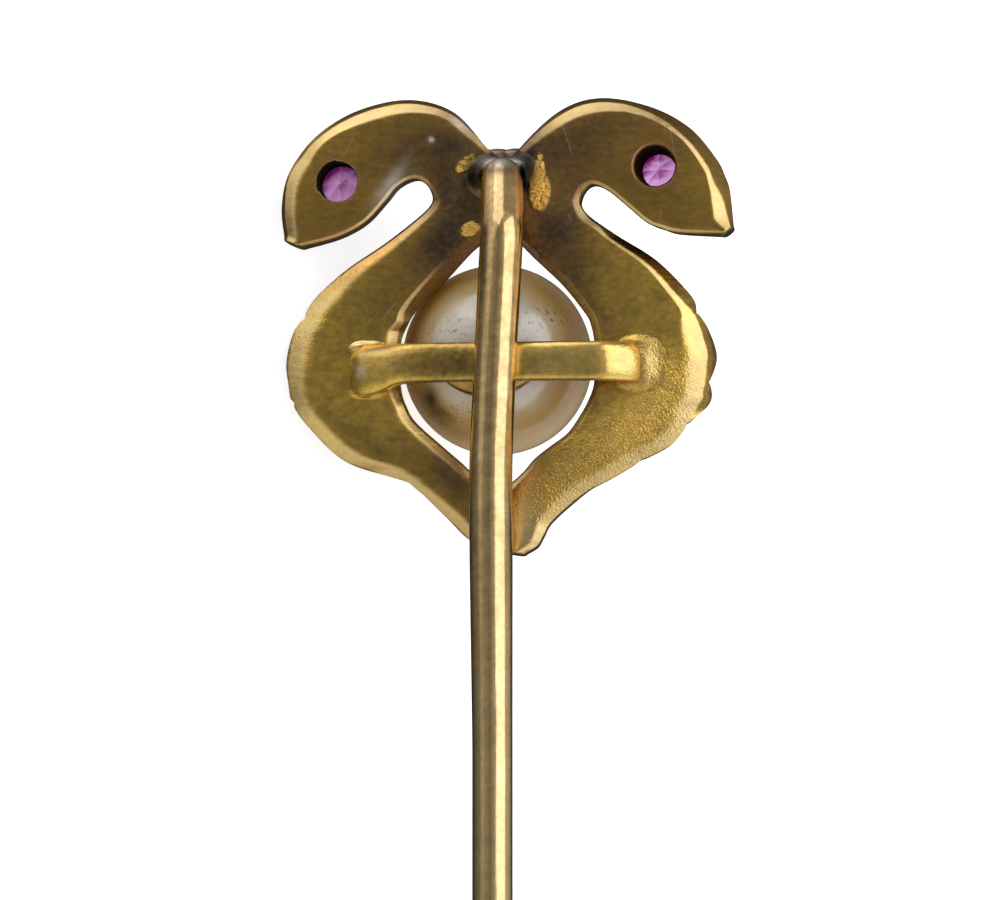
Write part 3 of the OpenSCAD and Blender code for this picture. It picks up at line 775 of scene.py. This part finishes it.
# %% Where the small pieces are stained
FOOT_SPOTS = {
    "yellow": [[0, -0.1, 9, 9, 0.45]],
    "grain": [[3.3, -0.1, 0.6, 0.6, 0.7]],
    # Painted highlight on the right pad and on the left foot's upper edge.
    "painted_highlight": [[3.42, -0.13, 0.2, 0.5, 0.4], [-3.35, 0.44, 0.4, 0.14, 0.6]],
}
NECK_SPOTS = {
    "tarnish_and_shade": [[0, 4.3, 3, 3, 0.86]],
    "lead": [
        [-0.7, 4.42, 0.28, 0.42, 1], [0.56, 4.46, 0.26, 0.45, 1], [-0.02, 4.8, 0.7, 0.1, 0.85],
        [0.54, 4.05, 0.1, 0.25, 0.95],
    ],
    "nugget": [
        [0.83, 3.9, 0.25, 0.42, 1, -5], [0.83, 4.5, 0.1, 0.36, 1], [-0.9, 4.62, 0.34, 0.15, 0.95, 42],
    ],
    # Partly a painted highlight: the silver on the solder behind the stem's end.
    "silver_and_sheen": [[-0.06, 4.63, 0.4, 0.12, 1]],
}
SEAT_SPOTS = {
    "yellow": [[0, -0.1, 9, 9, 0.6]],
    # Painted shade: the seat is darkened under the strap and the pearl, most of all at its rim.
    "tarnish_and_shade": [[-0.4, -0.7, 3, 1, 0.6], [-0.4, -0.95, 3, 0.1, 0.8]],
}
STRAP_SPOTS = {
    "yellow": [[0, -0.1, 9, 9, 1]],
    # Painted highlight on the right foot's bent facet, the left foot's upper edge and the strap's right
    # part.
    "painted_highlight": [
        [2.85, -0.1, 0.36, 0.6, 0.35], [-3.05, 0.24, 0.55, 0.14, 0.7], [-3.1, -0.2, 0.7, 0.5, 0.1],
        [1.5, -0.1, 1.3, 0.6, 0.3],
    ],
    # Painted shade: the strap is darkened on its left part, beside the stem and along the seam at its right
    # bend.
    "tarnish_and_shade": [[-1.4, -0.1, 1.5, 0.6, 0.64], [-0.9, -0.15, 0.55, 0.35, 0.5], [3.25, 0, 0.06, 0.7, 0.7]],
    "copper": [[-0.9, 0.33, 1.6, 0.06, 0.5], [1.5, 0.34, 1.2, 0.05, 0.45]],
    "grain": [[3.3, -0.1, 0.6, 0.6, 0.35]],
    "silver_and_sheen": [[-3.35, -0.28, 0.16, 0.14, 0.4]],
}
STEM_SPOTS = {
    # Painted highlight: the lower stem is painted paler.
    "painted_highlight": [[0, -12, 2, 7, 0.45]],
    # Partly a painted highlight: the silver white at the stem's end.
    "silver_and_sheen": [[-0.05, 4.62, 0.42, 0.12, 1]],
    "lead": [[-0.56, 4.4, 0.1, 0.35, 0.8], [0.48, 4.4, 0.08, 0.4, 0.9]],
    "copper": [[0.02, 3.7, 0.05, 0.25, 0.4]],
    # Painted shade: dark patches and strips on the stem's left side, and a band below its silver end.
    "tarnish_and_shade": [
        [-0.1, 3.05, 0.18, 0.4, 0.6, -15], [-0.34, 2.6, 0.14, 1.2, 0.55, 3], [-0.24, 0.2, 0.05, 2.2, 0.35],
        [0, 4.36, 0.6, 0.11, 0.85],
    ],
}

# %% [markdown]
# The shader has to read the spots. So each piece stores the amount of every kind of spot at each of its
# points as an attribute, and its place in the heads' frame, which holds the noise textures still.

# %% Store the spots on the pieces
OWN_SPOTS = {
    strap: STRAP_SPOTS, stem: STEM_SPOTS, neck_solder: NECK_SPOTS, pearl_seat: SEAT_SPOTS,
    left_foot_solder: FOOT_SPOTS, right_foot_solder: FOOT_SPOTS,
}


def store(piece, name, values):
    kind = "FLOAT" if values.ndim == 1 else "FLOAT_VECTOR"
    field = "value" if values.ndim == 1 else "vector"
    layer = piece.data.attributes.new(name, kind, "POINT")
    layer.data.foreach_set(field, values.astype(np.float32).ravel())


def read(points, name):
    values = np.empty(3 * len(points), np.float32)
    points.foreach_get(name, values)
    return values.reshape(-1, 3)


def head_places(piece):
    return (read(piece.data.vertices, "co") * 1000 - HEAD_AT) @ TURN


def head_normals(piece):
    return read(piece.data.vertex_normals, "vector") @ TURN


def paint(piece, spots):
    places = head_places(piece)
    store(piece, "place", places)
    for name, table in spots.items():
        store(piece, name, spot_amount(places[:, 0], places[:, 1], table))


for piece in gold_pieces:
    paint(piece, OWN_SPOTS.get(piece, SPOTS))
print("painted", len(gold_pieces), "gold pieces with", len(SPOTS), "kinds of spot")

# %% [markdown]
# More masks follow the shape. Cloth rubs a bevel pale and matt, and that pale colour also paints in the
# highlights that the bevels catch. The walls below the back keep a brown that cloth doesn't reach, while
# the steep strip at each edge and the stem's side towards the right serpent are painted brown as shade. A
# ring of copper stain sits round each sight hole, and its bore is painted dark as shade.

# %% Masks from the slope, from the depth and round the sight holes
MASK_MOST = 0.6
LEFT_HEAD_X, LEFT_EDGE_SHARE = -2.4, 0.3
RING_OUT, RING_WIDTH = 0.05, 0.05
for serpent in (right_serpent, left_serpent):
    x, y, z = head_places(serpent).T
    slope = np.degrees(np.arccos(np.clip(head_normals(serpent)[:, 2], -1, 1)))
    # Rubbed bevels by their slope: wear, and the pale colour laid here also paints the highlights that the
    # bevels catch.
    rubbed_and_highlight = MASK_MOST * ease((slope - 8) / 18) * (1 - ease((slope - 32) / 12)) * (z > -0.4)
    store(serpent, "rub_and_highlight", rubbed_and_highlight * (1 - spot_amount(x, y, SPOTS["copper"])))
    # Painted shade: the steep strip at each edge is painted brown, less on the left head.
    edge_shade = MASK_MOST * ease((slope - 36) / 8) * np.where(x < LEFT_HEAD_X, LEFT_EDGE_SHARE, 1)
    store(serpent, "wall", np.maximum(ease((-z - 0.3) / 0.12), edge_shade))
    ring, bore = np.zeros(len(x)), np.zeros(len(x))
    for eye_x, eye_y, _, _ in EYES.values():
        away = np.hypot(x - eye_x, y - eye_y)
        ring += np.exp(-((away - SIGHT_R - RING_OUT) / RING_WIDTH) ** 2)
        bore += away < SIGHT_R
    store(serpent, "drilled", ring)
    # Painted shade: the bore inside each sight hole is painted dark.
    store(serpent, "bore", bore)
    print(serpent.name, "rubbed on", round(100 * float((rubbed_and_highlight > 0.3).mean())), "% of its points")

# Painted shade: the stem's side that faces the right serpent is painted brown, above the tails.
faces_right = head_normals(stem)[:, 0]
above_tails = ease((head_places(stem)[:, 1] + 5.5) / 1.5)
store(stem, "wall", MASK_MOST * ease((faces_right - 0.84) / 0.12) * above_tails)

# %% [markdown]
# ## Materials
# A small helper keeps the node networks short: it adds one shader node, sets plain values on its
# sockets and links the rest.

# %% A helper for node networks


class Network:
    def __init__(self, owner, shader="Principled BSDF"):
        owner.use_nodes = True
        self.owner, self.tree = owner, owner.node_tree
        self.shader = self.tree.nodes[shader]

    def add(self, kind, out=0, settings=None, **sockets):
        node = self.tree.nodes.new("ShaderNode" + kind)
        for key, value in (settings or {}).items():
            setattr(node, key, value)
        for key, value in sockets.items():
            self.plug(node, key, value)
        return node.outputs[out]

    def plug(self, node, key, value):
        socket = node.inputs[int(key[1:])] if key[0] == "i" and key[1:].isdigit() else node.inputs[key]
        if isinstance(value, bpy.types.NodeSocket):
            self.tree.links.new(value, socket)
        else:
            socket.default_value = value

    def layer(self, name, out=2):
        return self.add("Attribute", out, {"attribute_name": name})

    def grain(self, place, scale, detail=3.0, stretch=(1, 1, 1)):
        moved = self.vector("MULTIPLY", place, stretch)
        return self.add("TexNoise", Vector=moved, Scale=scale, Detail=detail)

    def blend(self, amount, below, above):
        return self.add("Mix", 2, {"data_type": "RGBA"}, i0=amount, i6=below, i7=above)

    def ramp(self, value, low, high, to_low=0.0, to_high=1.0):
        names = ("Value", "From Min", "From Max", "To Min", "To Max")
        return self.add("MapRange", **dict(zip(names, (value, low, high, to_low, to_high))))

    def math(self, operation, first, second):
        return self.add("Math", settings={"operation": operation, "use_clamp": True}, i0=first, i1=second)

    def times(self, first, second):
        return self.math("MULTIPLY", first, second)

    def vector(self, operation, first, second, out=0):
        return self.add("VectorMath", out, {"operation": operation}, i0=first, i1=second)

    def dot(self, first, second):
        return self.vector("DOT_PRODUCT", first, second, out=1)

    def bump(self, bumps):
        """Bumps: rows of strength, distance, height. Each one lies on the one before."""
        below = {}
        for strength, distance, height in bumps:
            below["Normal"] = self.add("Bump", Strength=strength, Distance=distance, Height=height, **below)
        return below["Normal"]

    def finish(self, **sockets):
        for key, value in sockets.items():
            self.plug(self.shader, key.replace("_", " "), value)
        return self.owner


print("a network can", [name for name in vars(Network) if name[0] != "_"])

# %% [markdown]
# Gold of fourteen or fifteen carats is a warm yellow with olive in the flats. First come the colours
# that lie on it, how much rougher they make it, and a few scratches, thin lines that fade at their ends.

# %% What lies on the gold
FINE_SHADE, CLOUD_SHADE = (0.34, 0.2, 0.05, 1), (0.33, 0.22, 0.09, 1)
# The rubbed colour is wear that also paints the bevels' highlights, and the pale colour is a painted
# highlight.
RUBBED_AND_HIGHLIGHT, PAINTED_HIGHLIGHT = (0.9, 0.72, 0.37, 1), (0.84, 0.66, 0.34, 1)
# The tarnish colour is also used for painted shade.
FIRE_STAIN, TARNISH_AND_SHADE = (0.66, 0.32, 0.11, 1), (0.096, 0.065, 0.052, 1)
# The wall brown is partly patina on the walls and partly painted shade on steep edges and the stem's side.
# The bore brown is painted shade.
WALL_AND_SHADE_BROWN, BORE_SHADE = (0.21, 0.125, 0.05, 1), (0.03, 0.017, 0.01, 1)
# Silver is also used for painted sheen and highlight.
NUGGET, LEAD, SILVER_AND_SHEEN = (0.96, 0.58, 0.13, 1), (0.014, 0.018, 0.021, 1), (1, 0.97, 0.94, 1)
SCRATCH, SCRATCH_SHARE = (1, 0.8, 0.45, 1), 0.35
ROUGHER = {
    "rub_and_highlight": 0.12, "tarnish_and_shade": 0.1, "grain": 0.14, "nugget": 0.15, "lead": 0.14, "silver_and_sheen": 0.32, "bore": 0.8,
}
#   [x, y, half length, turn]
SCRATCHES = [
    [1.48, 5.15, 0.55, 108], [1.54, 3.32, 0.12, 115], [3.95, 5.05, 0.5, 100], [-3.65, 5.1, 0.3, 62],
    [-2.7, 1.2, 0.35, 50], [-3.05, 1.05, 0.22, 48], [3.65, 3.3, 0.3, 80],
]


def scratched(gold, place):
    lines = 0.0
    for x, y, half, turn in SCRATCHES:
        c, s = cos_sin(turn)
        off = gold.vector("SUBTRACT", place, (x, y, 0))
        along, across = (gold.math("ABSOLUTE", gold.dot(off, way), 0.0) for way in ((c, s, 0), (-s, c, 0)))
        line = gold.times(gold.ramp(across, 0.006, 0.016, 1, 0), gold.ramp(along, 0.5 * half, half, 1, 0))
        lines = gold.math("ADD", lines, line)
    return lines


print("layers that make the gold rougher:", ", ".join(ROUGHER))

# %% [markdown]
# The material lays them on one by one, then adds three bumps: the lines of the polishing cloth, the
# sandy skin and the lumpy nuggets. The stem is paler and shinier, and its lines run along the wire.

# %% The gold
CLOTH_BUMP, SAND_BUMP, LUMP_BUMP = 0.000012, 0.00004, 0.00022


def gold_material(name, flat, olive, yellow, lines, shine, coat, brushed):
    gold = Network(bpy.data.materials.new(name))
    place = gold.layer("place", 1)
    fine = gold.grain(place, 7, 5)
    worn = gold.grain(place, 3, 5, lines)
    copper = gold.math("MAXIMUM", gold.layer("copper"), gold.layer("drilled"))
    crumbs = gold.ramp(gold.grain(place, 8, 4), 0.24, 0.42)
    nugget = gold.ramp(gold.times(gold.layer("nugget"), crumbs), 0.3, 0.45)
    layers = [
        (gold.layer("yellow"), yellow),
        (gold.ramp(fine, 0.38, 0.72, 0, 0.42), FINE_SHADE),
        (gold.ramp(gold.grain(place, 2.3, 3), 0.46, 0.7, 0, 0.4), CLOUD_SHADE),
        # Rubbed bevels: wear, and painted highlight colour.
        (gold.times(gold.layer("rub_and_highlight"), gold.ramp(worn, 0.3, 0.6, 0.5, 0.9)), RUBBED_AND_HIGHLIGHT),
        (gold.times(copper, gold.ramp(fine, 0.3, 0.6, 0.5, 1)), FIRE_STAIN),
        # Painted highlight: the pale layer.
        (gold.layer("painted_highlight"), PAINTED_HIGHLIGHT),
        # Tarnish, and painted shade in places.
        (gold.times(gold.layer("tarnish_and_shade"), gold.ramp(fine, 0.35, 0.6, 0.82, 1)), TARNISH_AND_SHADE),
        # Walls: partly patina, partly painted shade.
        (gold.layer("wall"), WALL_AND_SHADE_BROWN),
        # Painted shade: the bore.
        (gold.layer("bore"), BORE_SHADE),
        (nugget, NUGGET),
        (gold.times(gold.layer("lead"), gold.ramp(fine, 0.2, 0.45, 0.7, 1)), LEAD),
        # Silver: partly painted sheen and highlight.
        (gold.layer("silver_and_sheen"), SILVER_AND_SHEEN),
        (gold.times(scratched(gold, place), SCRATCH_SHARE), SCRATCH),
    ]
    colour = gold.blend(gold.ramp(gold.grain(place, 1.1, 4), 0.35, 0.65), flat, olive)
    for amount, above in layers:
        colour = gold.blend(amount, colour, above)
    rough = gold.ramp(worn, 0.3, 0.7, *shine)
    for layer, more in ROUGHER.items():
        rough = gold.math("ADD", rough, gold.ramp(gold.layer(layer), 0, 1, 0, more))
    normal = gold.bump([
        (brushed, CLOTH_BUMP, worn),
        (1.0, SAND_BUMP, gold.times(gold.grain(place, 19, 1), gold.layer("grain"))),
        (1.0, LUMP_BUMP, gold.times(gold.grain(place, 9, 3), nugget)),
    ])
    print(name, "has", len(layers), "layers of colour")
    return gold.finish(Base_Color=colour, Metallic=1.0, Roughness=rough, Normal=normal, Coat_Weight=coat,
                       Coat_IOR=1.5, Coat_Roughness=0.12)


serpent_gold = gold_material(
    "serpent_gold", (0.62, 0.37, 0.09, 1), (0.52, 0.325, 0.082, 1), (1, 0.67, 0.125, 1),
    lines=(1, 3, 1), shine=(0.18, 0.28), coat=0.0, brushed=0.5,
)
stem_gold = gold_material(
    "stem_gold", (0.92, 0.66, 0.31, 1), (0.84, 0.58, 0.25, 1), (0.97, 0.6, 0.12, 1),
    lines=(8, 0.3, 8), shine=(0.1, 0.16), coat=0.35, brushed=0.2,
)
for piece in gold_pieces:
    piece.data.materials.clear()
    piece.data.materials.append(stem_gold if piece == stem else serpent_gold)

# %% [markdown]
# Nacre is thin layers over a core. It shows a cream middle and an ochre ring, partly its own colour
# and partly painted shade, as the ring reaches further in on the left. The rim is painted lighter, most
# of all low down, as painted light from the floor glowing through the nacre. Old glue and dirt left a
# brown stain and specks near the seat.

# %% Where the pearl is stained
paint(pearl, {
    "stain": [
        [-1.78, -0.82, 0.2, 0.32, 0.95, 20], [-1.52, -1.16, 0.24, 0.12, 0.7, -30],
        [0.48, 0.42, 0.16, 0.07, 0.8, 25], [0.02, -1.38, 0.14, 0.12, 0.6],
    ],
    "speckled": [
        [-1.25, 0.74, 0.6, 0.26, 1, 15], [0.85, 0.98, 0.6, 0.3, 0.9], [-1.2, -1.3, 0.6, 0.3, 0.7],
    ],
})
AMBER_SPOT = [[-1, -1.15, 0.8, 0.6, 0.5]]
x, y, z = head_places(pearl).T - PEARL[:, None]
out = np.hypot(x, y) / PEARL_R
# Painted shade: the ochre ring reaches further in on the left side.
ochre_ring = ease((out + 0.08 * ease(0.5 - x) - 0.54) / 0.34)
store(pearl, "ochre", np.maximum(ochre_ring, spot_amount(x, y, AMBER_SPOT)))
# Painted light: the rim is lighter, most of all low down, where light from the floor glows through.
store(pearl, "rim", ease((out - 0.9) / 0.08) * (0.2 + 0.3 * ease(0.5 - 0.8 * y / PEARL_R)))
print("ochre on", round(100 * float((ochre_ring > 0.5).mean())), "% of the pearl's points")

# %% [markdown]
# Light enters the nacre and comes out again nearby, which subsurface scattering does, and the last
# clear layers shine like a coat of lacquer. Where dirt lies, no light gets in.

# %% The nacre of the pearl
CREAM, SHADED_CREAM = (0.53, 0.48, 0.37, 1), (0.4, 0.35, 0.24, 1)
OCHRE, PAINTED_RIM_LIGHT = (0.62, 0.43, 0.145, 1), (0.72, 0.56, 0.33, 1)
SPECK, STAIN = (0.1, 0.045, 0.006, 1), (0.06, 0.022, 0.004, 1)
nacre = Network(bpy.data.materials.new("nacre"))
place = nacre.layer("place", 1)
clouds = nacre.grain(place, 1.6, 4)
specks = nacre.times(nacre.ramp(nacre.grain(place, 11, 2), 0.58, 0.64), nacre.layer("speckled"))
stain = nacre.times(nacre.layer("stain"), nacre.ramp(nacre.grain(place, 3, 4), 0.32, 0.46, 0.4, 1))
colour = nacre.blend(nacre.ramp(clouds, 0.35, 0.7), CREAM, SHADED_CREAM)
colour = nacre.blend(nacre.times(nacre.layer("ochre"), nacre.ramp(clouds, 0.3, 0.6, 0.8, 1)), colour, OCHRE)
for amount, above in ((nacre.layer("rim"), PAINTED_RIM_LIGHT), (specks, SPECK), (stain, STAIN)):
    colour = nacre.blend(amount, colour, above)
nacre.finish(
    Base_Color=colour, Roughness=0.4, IOR=1.6, Coat_Weight=1.0, Coat_IOR=1.9, Coat_Roughness=0.17,
    Subsurface_Weight=nacre.ramp(nacre.math("MAXIMUM", stain, specks), 0, 0.8, 0.75, 0),
    Subsurface_Radius=(1, 0.8, 0.52), Subsurface_Scale=0.0035,
    Normal=nacre.bump([(0.6, 0.00002, nacre.grain(place, 6, 4))]),
)
pearl.data.materials.append(nacre.owner)
print("nodes in the nacre:", len(nacre.tree.nodes))

# %% [markdown]
# The eye stones keep the CAD's own facets: a table, eight crown facets and eight behind. Pink stone
# is clear, so a little light passes through it, and the facets send the rest back. Its colour is painted
# light towards the lower right and dark towards the upper left, where the sight hole shades it.

# %% The eye stones
LOWER_RIGHT = (TURN @ [0.35, -0.9, 0.25]).tolist()
SHADED_PINK, LIT_PINK = (0.16, 0.006, 0.12, 1), (1, 0.52, 1, 1)
pink = Network(bpy.data.materials.new("eye_stone"))
from_middle = pink.vector("SUBTRACT", pink.add("TexCoord"), (0.5, 0.5, 0.5))
# Painted light and shade: the stone is painted lighter towards the lower right.
lit = pink.ramp(pink.dot(from_middle, LOWER_RIGHT), -0.26, 0.18)
veil = pink.add("TexNoise", Vector=pink.add("TexCoord", 3), Scale=3500, Detail=3)
tone = pink.math("ADD", lit, pink.ramp(veil, 0.38, 0.62, -0.25, 0.3))
colour = pink.blend(tone, SHADED_PINK, LIT_PINK)
pink.finish(Base_Color=colour, Roughness=0.34, Transmission_Weight=0.8, IOR=1.74)
for side in EYES:
    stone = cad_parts[side + "_eye"]
    stone.data.materials.clear()
    stone.data.materials.append(pink.owner)
    print(stone.name, "has", len(stone.data.polygons), "faces")

# %% [markdown]
# ## Camera, floor and light
# The photograph looks at the back from a little to the right and below. A long lens from far away
# keeps the lines parallel. 43 pixels make one millimetre, and that sets its focal length.

# %% The camera
PIXELS_PER_MM, PICTURE_WIDTH, SENSOR = 43, 1000, 36
PICTURE_MIDDLE, HEADS_MIDDLE = (500, 450), (504, 360)
YAW, PITCH = math.radians(7), math.radians(6)
DISTANCE = 0.3


def stand(thing, place, axes):
    thing.location = place
    thing.rotation_mode = "QUATERNION"
    thing.rotation_quaternion = Matrix(np.stack(axes).T.tolist()).to_quaternion()


toward = TURN @ [math.sin(YAW) * math.cos(PITCH), -math.sin(PITCH), math.cos(YAW) * math.cos(PITCH)]
rightward = TURN @ [math.cos(YAW), 0, -math.sin(YAW)]
upward = np.cross(toward, rightward)
offset = (np.array(PICTURE_MIDDLE) - HEADS_MIDDLE) / PIXELS_PER_MM
aim = (HEAD_AT + rightward * offset[0] - upward * offset[1]) / 1000
camera = add_object("camera", bpy.data.cameras.new("camera"))
camera.data.lens = SENSOR * DISTANCE / (PICTURE_WIDTH / PIXELS_PER_MM / 1000)
camera.data.clip_start, camera.data.clip_end = 0.01, 10
stand(camera, aim + toward * DISTANCE, [rightward, upward, toward])
bpy.context.scene.camera = camera
print("lens", round(camera.data.lens), "mm, elevation", round(math.degrees(math.asin(toward[2])), 1))

# %% [markdown]
# The pin lies on white paper that was lit until it was nearly burnt out. A little emission does that to
# a plain sheet and leaves a soft shadow. The metal doesn't mirror the sheet, only the lights and the room.

# %% The floor
HALF, JUST_BELOW = 1.5, 0.00001
floor_mesh = bpy.data.meshes.new("floor")
corners = [(-HALF, -HALF, 0), (HALF, -HALF, 0), (HALF, HALF, 0), (-HALF, HALF, 0)]
floor_mesh.from_pydata(corners, [], [(0, 1, 2, 3)])
floor = add_object("floor", floor_mesh)
floor.location.z = -JUST_BELOW
floor.visible_glossy = False
paper = Network(bpy.data.materials.new("paper"))
fibres = paper.add("TexNoise", Vector=paper.add("TexCoord", 3), Scale=400, Detail=4)
shade = paper.blend(fibres, (0.8, 0.8, 0.81, 1), (0.83, 0.83, 0.83, 1))
paper.finish(Base_Color=shade, Roughness=0.9, Emission_Color=(1, 1, 1, 1), Emission_Strength=0.7)
floor_mesh.materials.append(paper.owner)
print("floor of", 2 * HALF, "m")

# %% [markdown]
# ## Light
# Polished metal shows the room and not itself, so the lights are placed by what the metal mirrors. Each
# softbox has a place as seen from the pin, in degrees to the right of the lens and above it, and the
# angles that it fills. Two more aren't mirrored, and light only what isn't metal.

# %% Softboxes, placed in degrees from the lens
COOL_WHITE = (0.98, 0.99, 1.1)


def way_to(right, above):
    (ahead, side), (level, height) = cos_sin(right), cos_sin(above)
    return toward * ahead * level + rightward * side * level + upward * height


def softbox(name, right, above, half_wide, half_high, radiance, far=0.16, glossy=True):
    way, level = way_to(right, above), way_to(right + 90, 0)
    lamp = bpy.data.lights.new(name, "AREA")
    lamp.shape = "RECTANGLE"
    lamp.size, lamp.size_y = (2 * far * math.tan(math.radians(half)) for half in (half_wide, half_high))
    lamp.energy = radiance * math.pi * lamp.size * lamp.size_y
    lamp.color = COOL_WHITE if glossy else (1, 1, 1)
    box = add_object(name, lamp)
    stand(box, HEAD_AT / 1000 + way * far, [level, np.cross(way, level), way])
    box.visible_camera = False
    box.visible_glossy = glossy
    print(name, "at", [round(1000 * v) for v in box.location], "mm")


softbox("top_left", -44, 66, 20, 18, 1.20)
softbox("right", 49, 20, 28, 32, 1.20)
softbox("low_right", 50, -42, 24, 18, 0.50)
softbox("overhead", 0, 0, 28, 28, 0.50, far=0.5, glossy=False)
softbox("left_fill", -80, 5, 32, 32, 0.35, glossy=False)

# %% [markdown]
# The room behind the lights is dim near the lens, with paler walls left and below. A background that
# looks only at directions can say that: each patch is even near its middle and fades out round it.

# %% The room, with walls that are paler in some places
#   [degrees right of the lens, above it, even to, fades out at, brightness]
WALLS = [
    [-64, 36, 14, 32, 0.8], [-48, -30, 12, 36, 0.6], [15, -44, 14, 36, 0.36], [110, -42, 22, 50, 0.34],
    [60, 10, 20, 68, 0.34], [-40, 65, 20, 52, 0.16], [180, 0, 30, 85, -0.14], [-118, 4, 18, 46, -0.03],
    [-112, 38, 8, 22, 0.45], [-38, 10, 8, 21, 0.06],
]
DIM = 0.19
room = Network(bpy.data.worlds.new("room"), "Background")
strength = DIM
for right, above, even, out, level in WALLS:
    facing = room.dot(room.add("TexCoord"), way_to(right, above).tolist())
    patch = room.ramp(facing, math.cos(math.radians(out)), math.cos(math.radians(even)), 0, level)
    strength = room.add("Math", settings={"operation": "ADD"}, i0=patch, i1=strength)
room.finish(Color=(1, 0.985, 0.965, 1), Strength=strength)
bpy.context.scene.world = room.owner
bpy.context.scene.view_settings.view_transform = "Standard"
print("room with", len(WALLS), "patches on its walls")

# %% [markdown]
